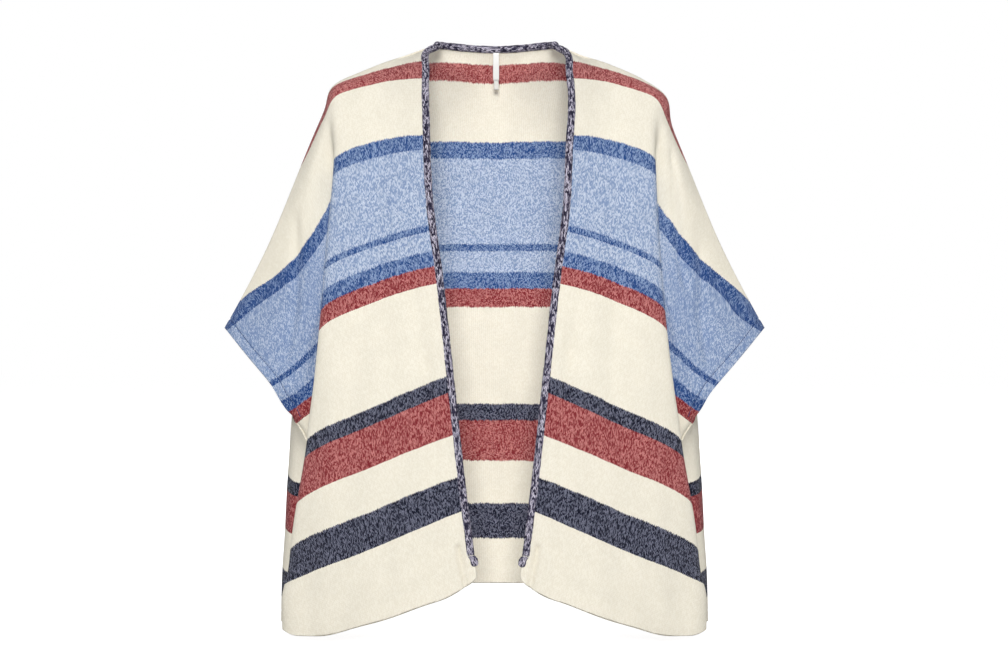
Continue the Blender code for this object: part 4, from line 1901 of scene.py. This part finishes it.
def smoothed(part: np.ndarray, reach: int = 9) -> np.ndarray:
    """A line of points, each brought to the mean of its neighbours.

    Args:
        part: the line.
        reach: how many neighbours on each side.

    Returns:
        The line, as long as it was.
    """
    weights = np.hanning(2 * reach + 3)[1:-1]
    weights /= weights.sum()
    steps = np.arange(reach, 0, -1)[:, None]
    head = part[0] - (part[1] - part[0]) * steps
    tail = part[-1] + (part[-1] - part[-2]) * steps[::-1]
    padded = np.concatenate([head, part, tail])
    return np.column_stack([np.convolve(padded[:, axis], weights, "valid") for axis in range(3)])


def signed_volume(points: np.ndarray, faces: Sequence[Sequence[int]]) -> float:
    """The volume that the faces close, below 0 if they look inwards.

    Args:
        points: the vertices.
        faces: the faces, as vertex numbers.

    Returns:
        The volume in cubic metres.
    """
    volume = 0.0
    for face in faces:
        for second, third in zip(face[1:], face[2:]):
            a, b, c = points[face[0]], points[second], points[third]
            volume += (a[0] * (b[1] * c[2] - b[2] * c[1]) + a[1] * (b[2] * c[0] - b[0] * c[2])
                       + a[2] * (b[0] * c[1] - b[1] * c[0]))
    return float(volume)


# ---- the studio ------------------------------------------------------------------------------------------
# Each lamp's name, place, size in metres and power in watts.
LAMPS = (
    ("front_light", (0.0, -7.8, 2.0), 1.9, 500.0),
    ("top_light", (0.1, -2.1, 1.9), 1.2, 19.0),
    ("back_light", (0.0, 5.2, 1.4), 1.9, 210.0),
    ("under_light", (0.0, -0.15, -2.4), 1.6, 13.0),
    ("left_light", (-3.4, -0.5, 0.1), 1.5, 15.0),
    ("right_light", (3.4, -0.5, 0.1), 1.5, 15.0),
)


@dataclass(frozen=True)
class Studio:
    """A pale floor, soft lights and the camera."""

    floor_gap: float = 0.005
    floor_size: float = 40.0
    floor_glow: float = 0.90
    surround: float = 0.19
    aim: Place = (0.0, 0.0, -0.4)
    camera_place: Place = (0.0127, -3.0, -0.388)
    lens: float = 80.36

    def build(self) -> None:
        """Makes the floor, the lights and the camera."""
        self.add_floor()
        self.add_surround()
        for lamp in LAMPS:
            self.add_lamp(*lamp)
        self.add_camera()
        bpy.context.scene.view_settings.view_transform = "Standard"

    def add_floor(self) -> None:
        """A large floor under the hem, which glows so that it stays pale, and lets light through."""
        low = CAD_BOX[0][2] - self.floor_gap
        half = self.floor_size / 2
        mesh = bpy.data.meshes.new("floor")
        corners = [(-half, -half, low), (half, -half, low), (half, half, low), (-half, half, low)]
        mesh.from_pydata(corners, [], [(0, 1, 2, 3)])
        floor = add_object("floor", mesh)
        floor.visible_shadow = False
        sketch = Sketch("pale_floor")
        sketch.shader.inputs["Emission Color"].default_value = (1, 1, 1, 1)
        seen = sketch.node("ShaderNodeLightPath").outputs["Is Camera Ray"]
        sketch.feed(sketch.shader.inputs["Emission Strength"], sketch.scaled(seen, self.floor_glow))
        mesh.materials.append(sketch.finished((0.5, 0.5, 0.5, 1), roughness=0.9, specular=0.0))

    def add_surround(self) -> None:
        """A surround that looks white and lights the sweater gently."""
        world = bpy.data.worlds.new("white_surround")
        world.use_nodes = True
        tree = world.node_tree
        background = tree.nodes["Background"]
        background.inputs["Color"].default_value = (1.0, 1.0, 1.0, 1)
        seen = tree.nodes.new("ShaderNodeLightPath")
        strength = tree.nodes.new("ShaderNodeMix")
        tree.links.new(seen.outputs["Is Camera Ray"], strength.inputs["Factor"])
        strength.inputs["A"].default_value = self.surround
        strength.inputs["B"].default_value = 1.0
        tree.links.new(strength.outputs["Result"], background.inputs["Strength"])
        bpy.context.scene.world = world

    def add_lamp(self, name: str, place: Place, size: float, power: float) -> None:
        """A square area light that faces the sweater's middle.

        Args:
            name: the lamp's name.
            place: where it stands.
            size: its side in metres.
            power: its power in watts.
        """
        data = bpy.data.lights.new(name, "AREA")
        data.energy = power
        data.size = size
        lamp = add_object(name, data)
        lamp.location = place
        aim = Vector(self.aim) - Vector(place)
        lamp.rotation_euler = aim.to_track_quat("-Z", "Y").to_euler()

    def add_camera(self) -> None:
        """A level camera, square to the front."""
        data = bpy.data.cameras.new("camera")
        data.lens = self.lens
        camera = add_object("camera", data)
        camera.location = self.camera_place
        camera.rotation_euler = (math.pi / 2, 0, 0)
        bpy.context.scene.camera = camera


KNIT_FINISH = {face: StripedKnit().material(face) for face in Face}
ROLL_FINISH = MarlRoll().material()
WRAP_FINISH = Thread("cream_thread", dye(240, 236, 222)).material()
STITCH_FINISH = Thread("blue_thread", dye(50, 72, 118)).material()
LABEL_FINISH = Tape("white_satin", dye(246, 246, 243), 5200.0, 0.45).material()
TAB_FINISH = Tape("pale_tab", dye(232, 231, 224), 4200.0, 0.55).material()
TAG_TOP_Y = 0.0709
TAG_TOP_Z = -0.0015


def main() -> None:
    """Builds the studio and then the sweater, piece by piece."""
    logging.basicConfig(level=logging.INFO, format="%(name)s: %(message)s")
    Studio().build()
    body = Body()
    pieces = body.build()
    pieces += Binding().build(body)
    pieces += [CuffStitching().build(side, body) for side in Side]
    label = Tag(
        "neck_label_tape", "neck_label", width=0.0082, length=0.0375, thick=0.0008, curl=0.0012,
        top=(0.0018, TAG_TOP_Y, TAG_TOP_Z), finish=LABEL_FINISH,
    )
    tab = Tag(
        "size_tab_tape", "size_tab", width=0.0064, length=0.0505, thick=0.0005, curl=0.0004,
        top=(0.0020, TAG_TOP_Y + 0.0016, TAG_TOP_Z), finish=TAB_FINISH,
    )
    pieces += [label.build(), tab.build()]
    for piece in pieces:
        LOG.info("built %s", piece.name)


if __name__ == "__main__":
    main()
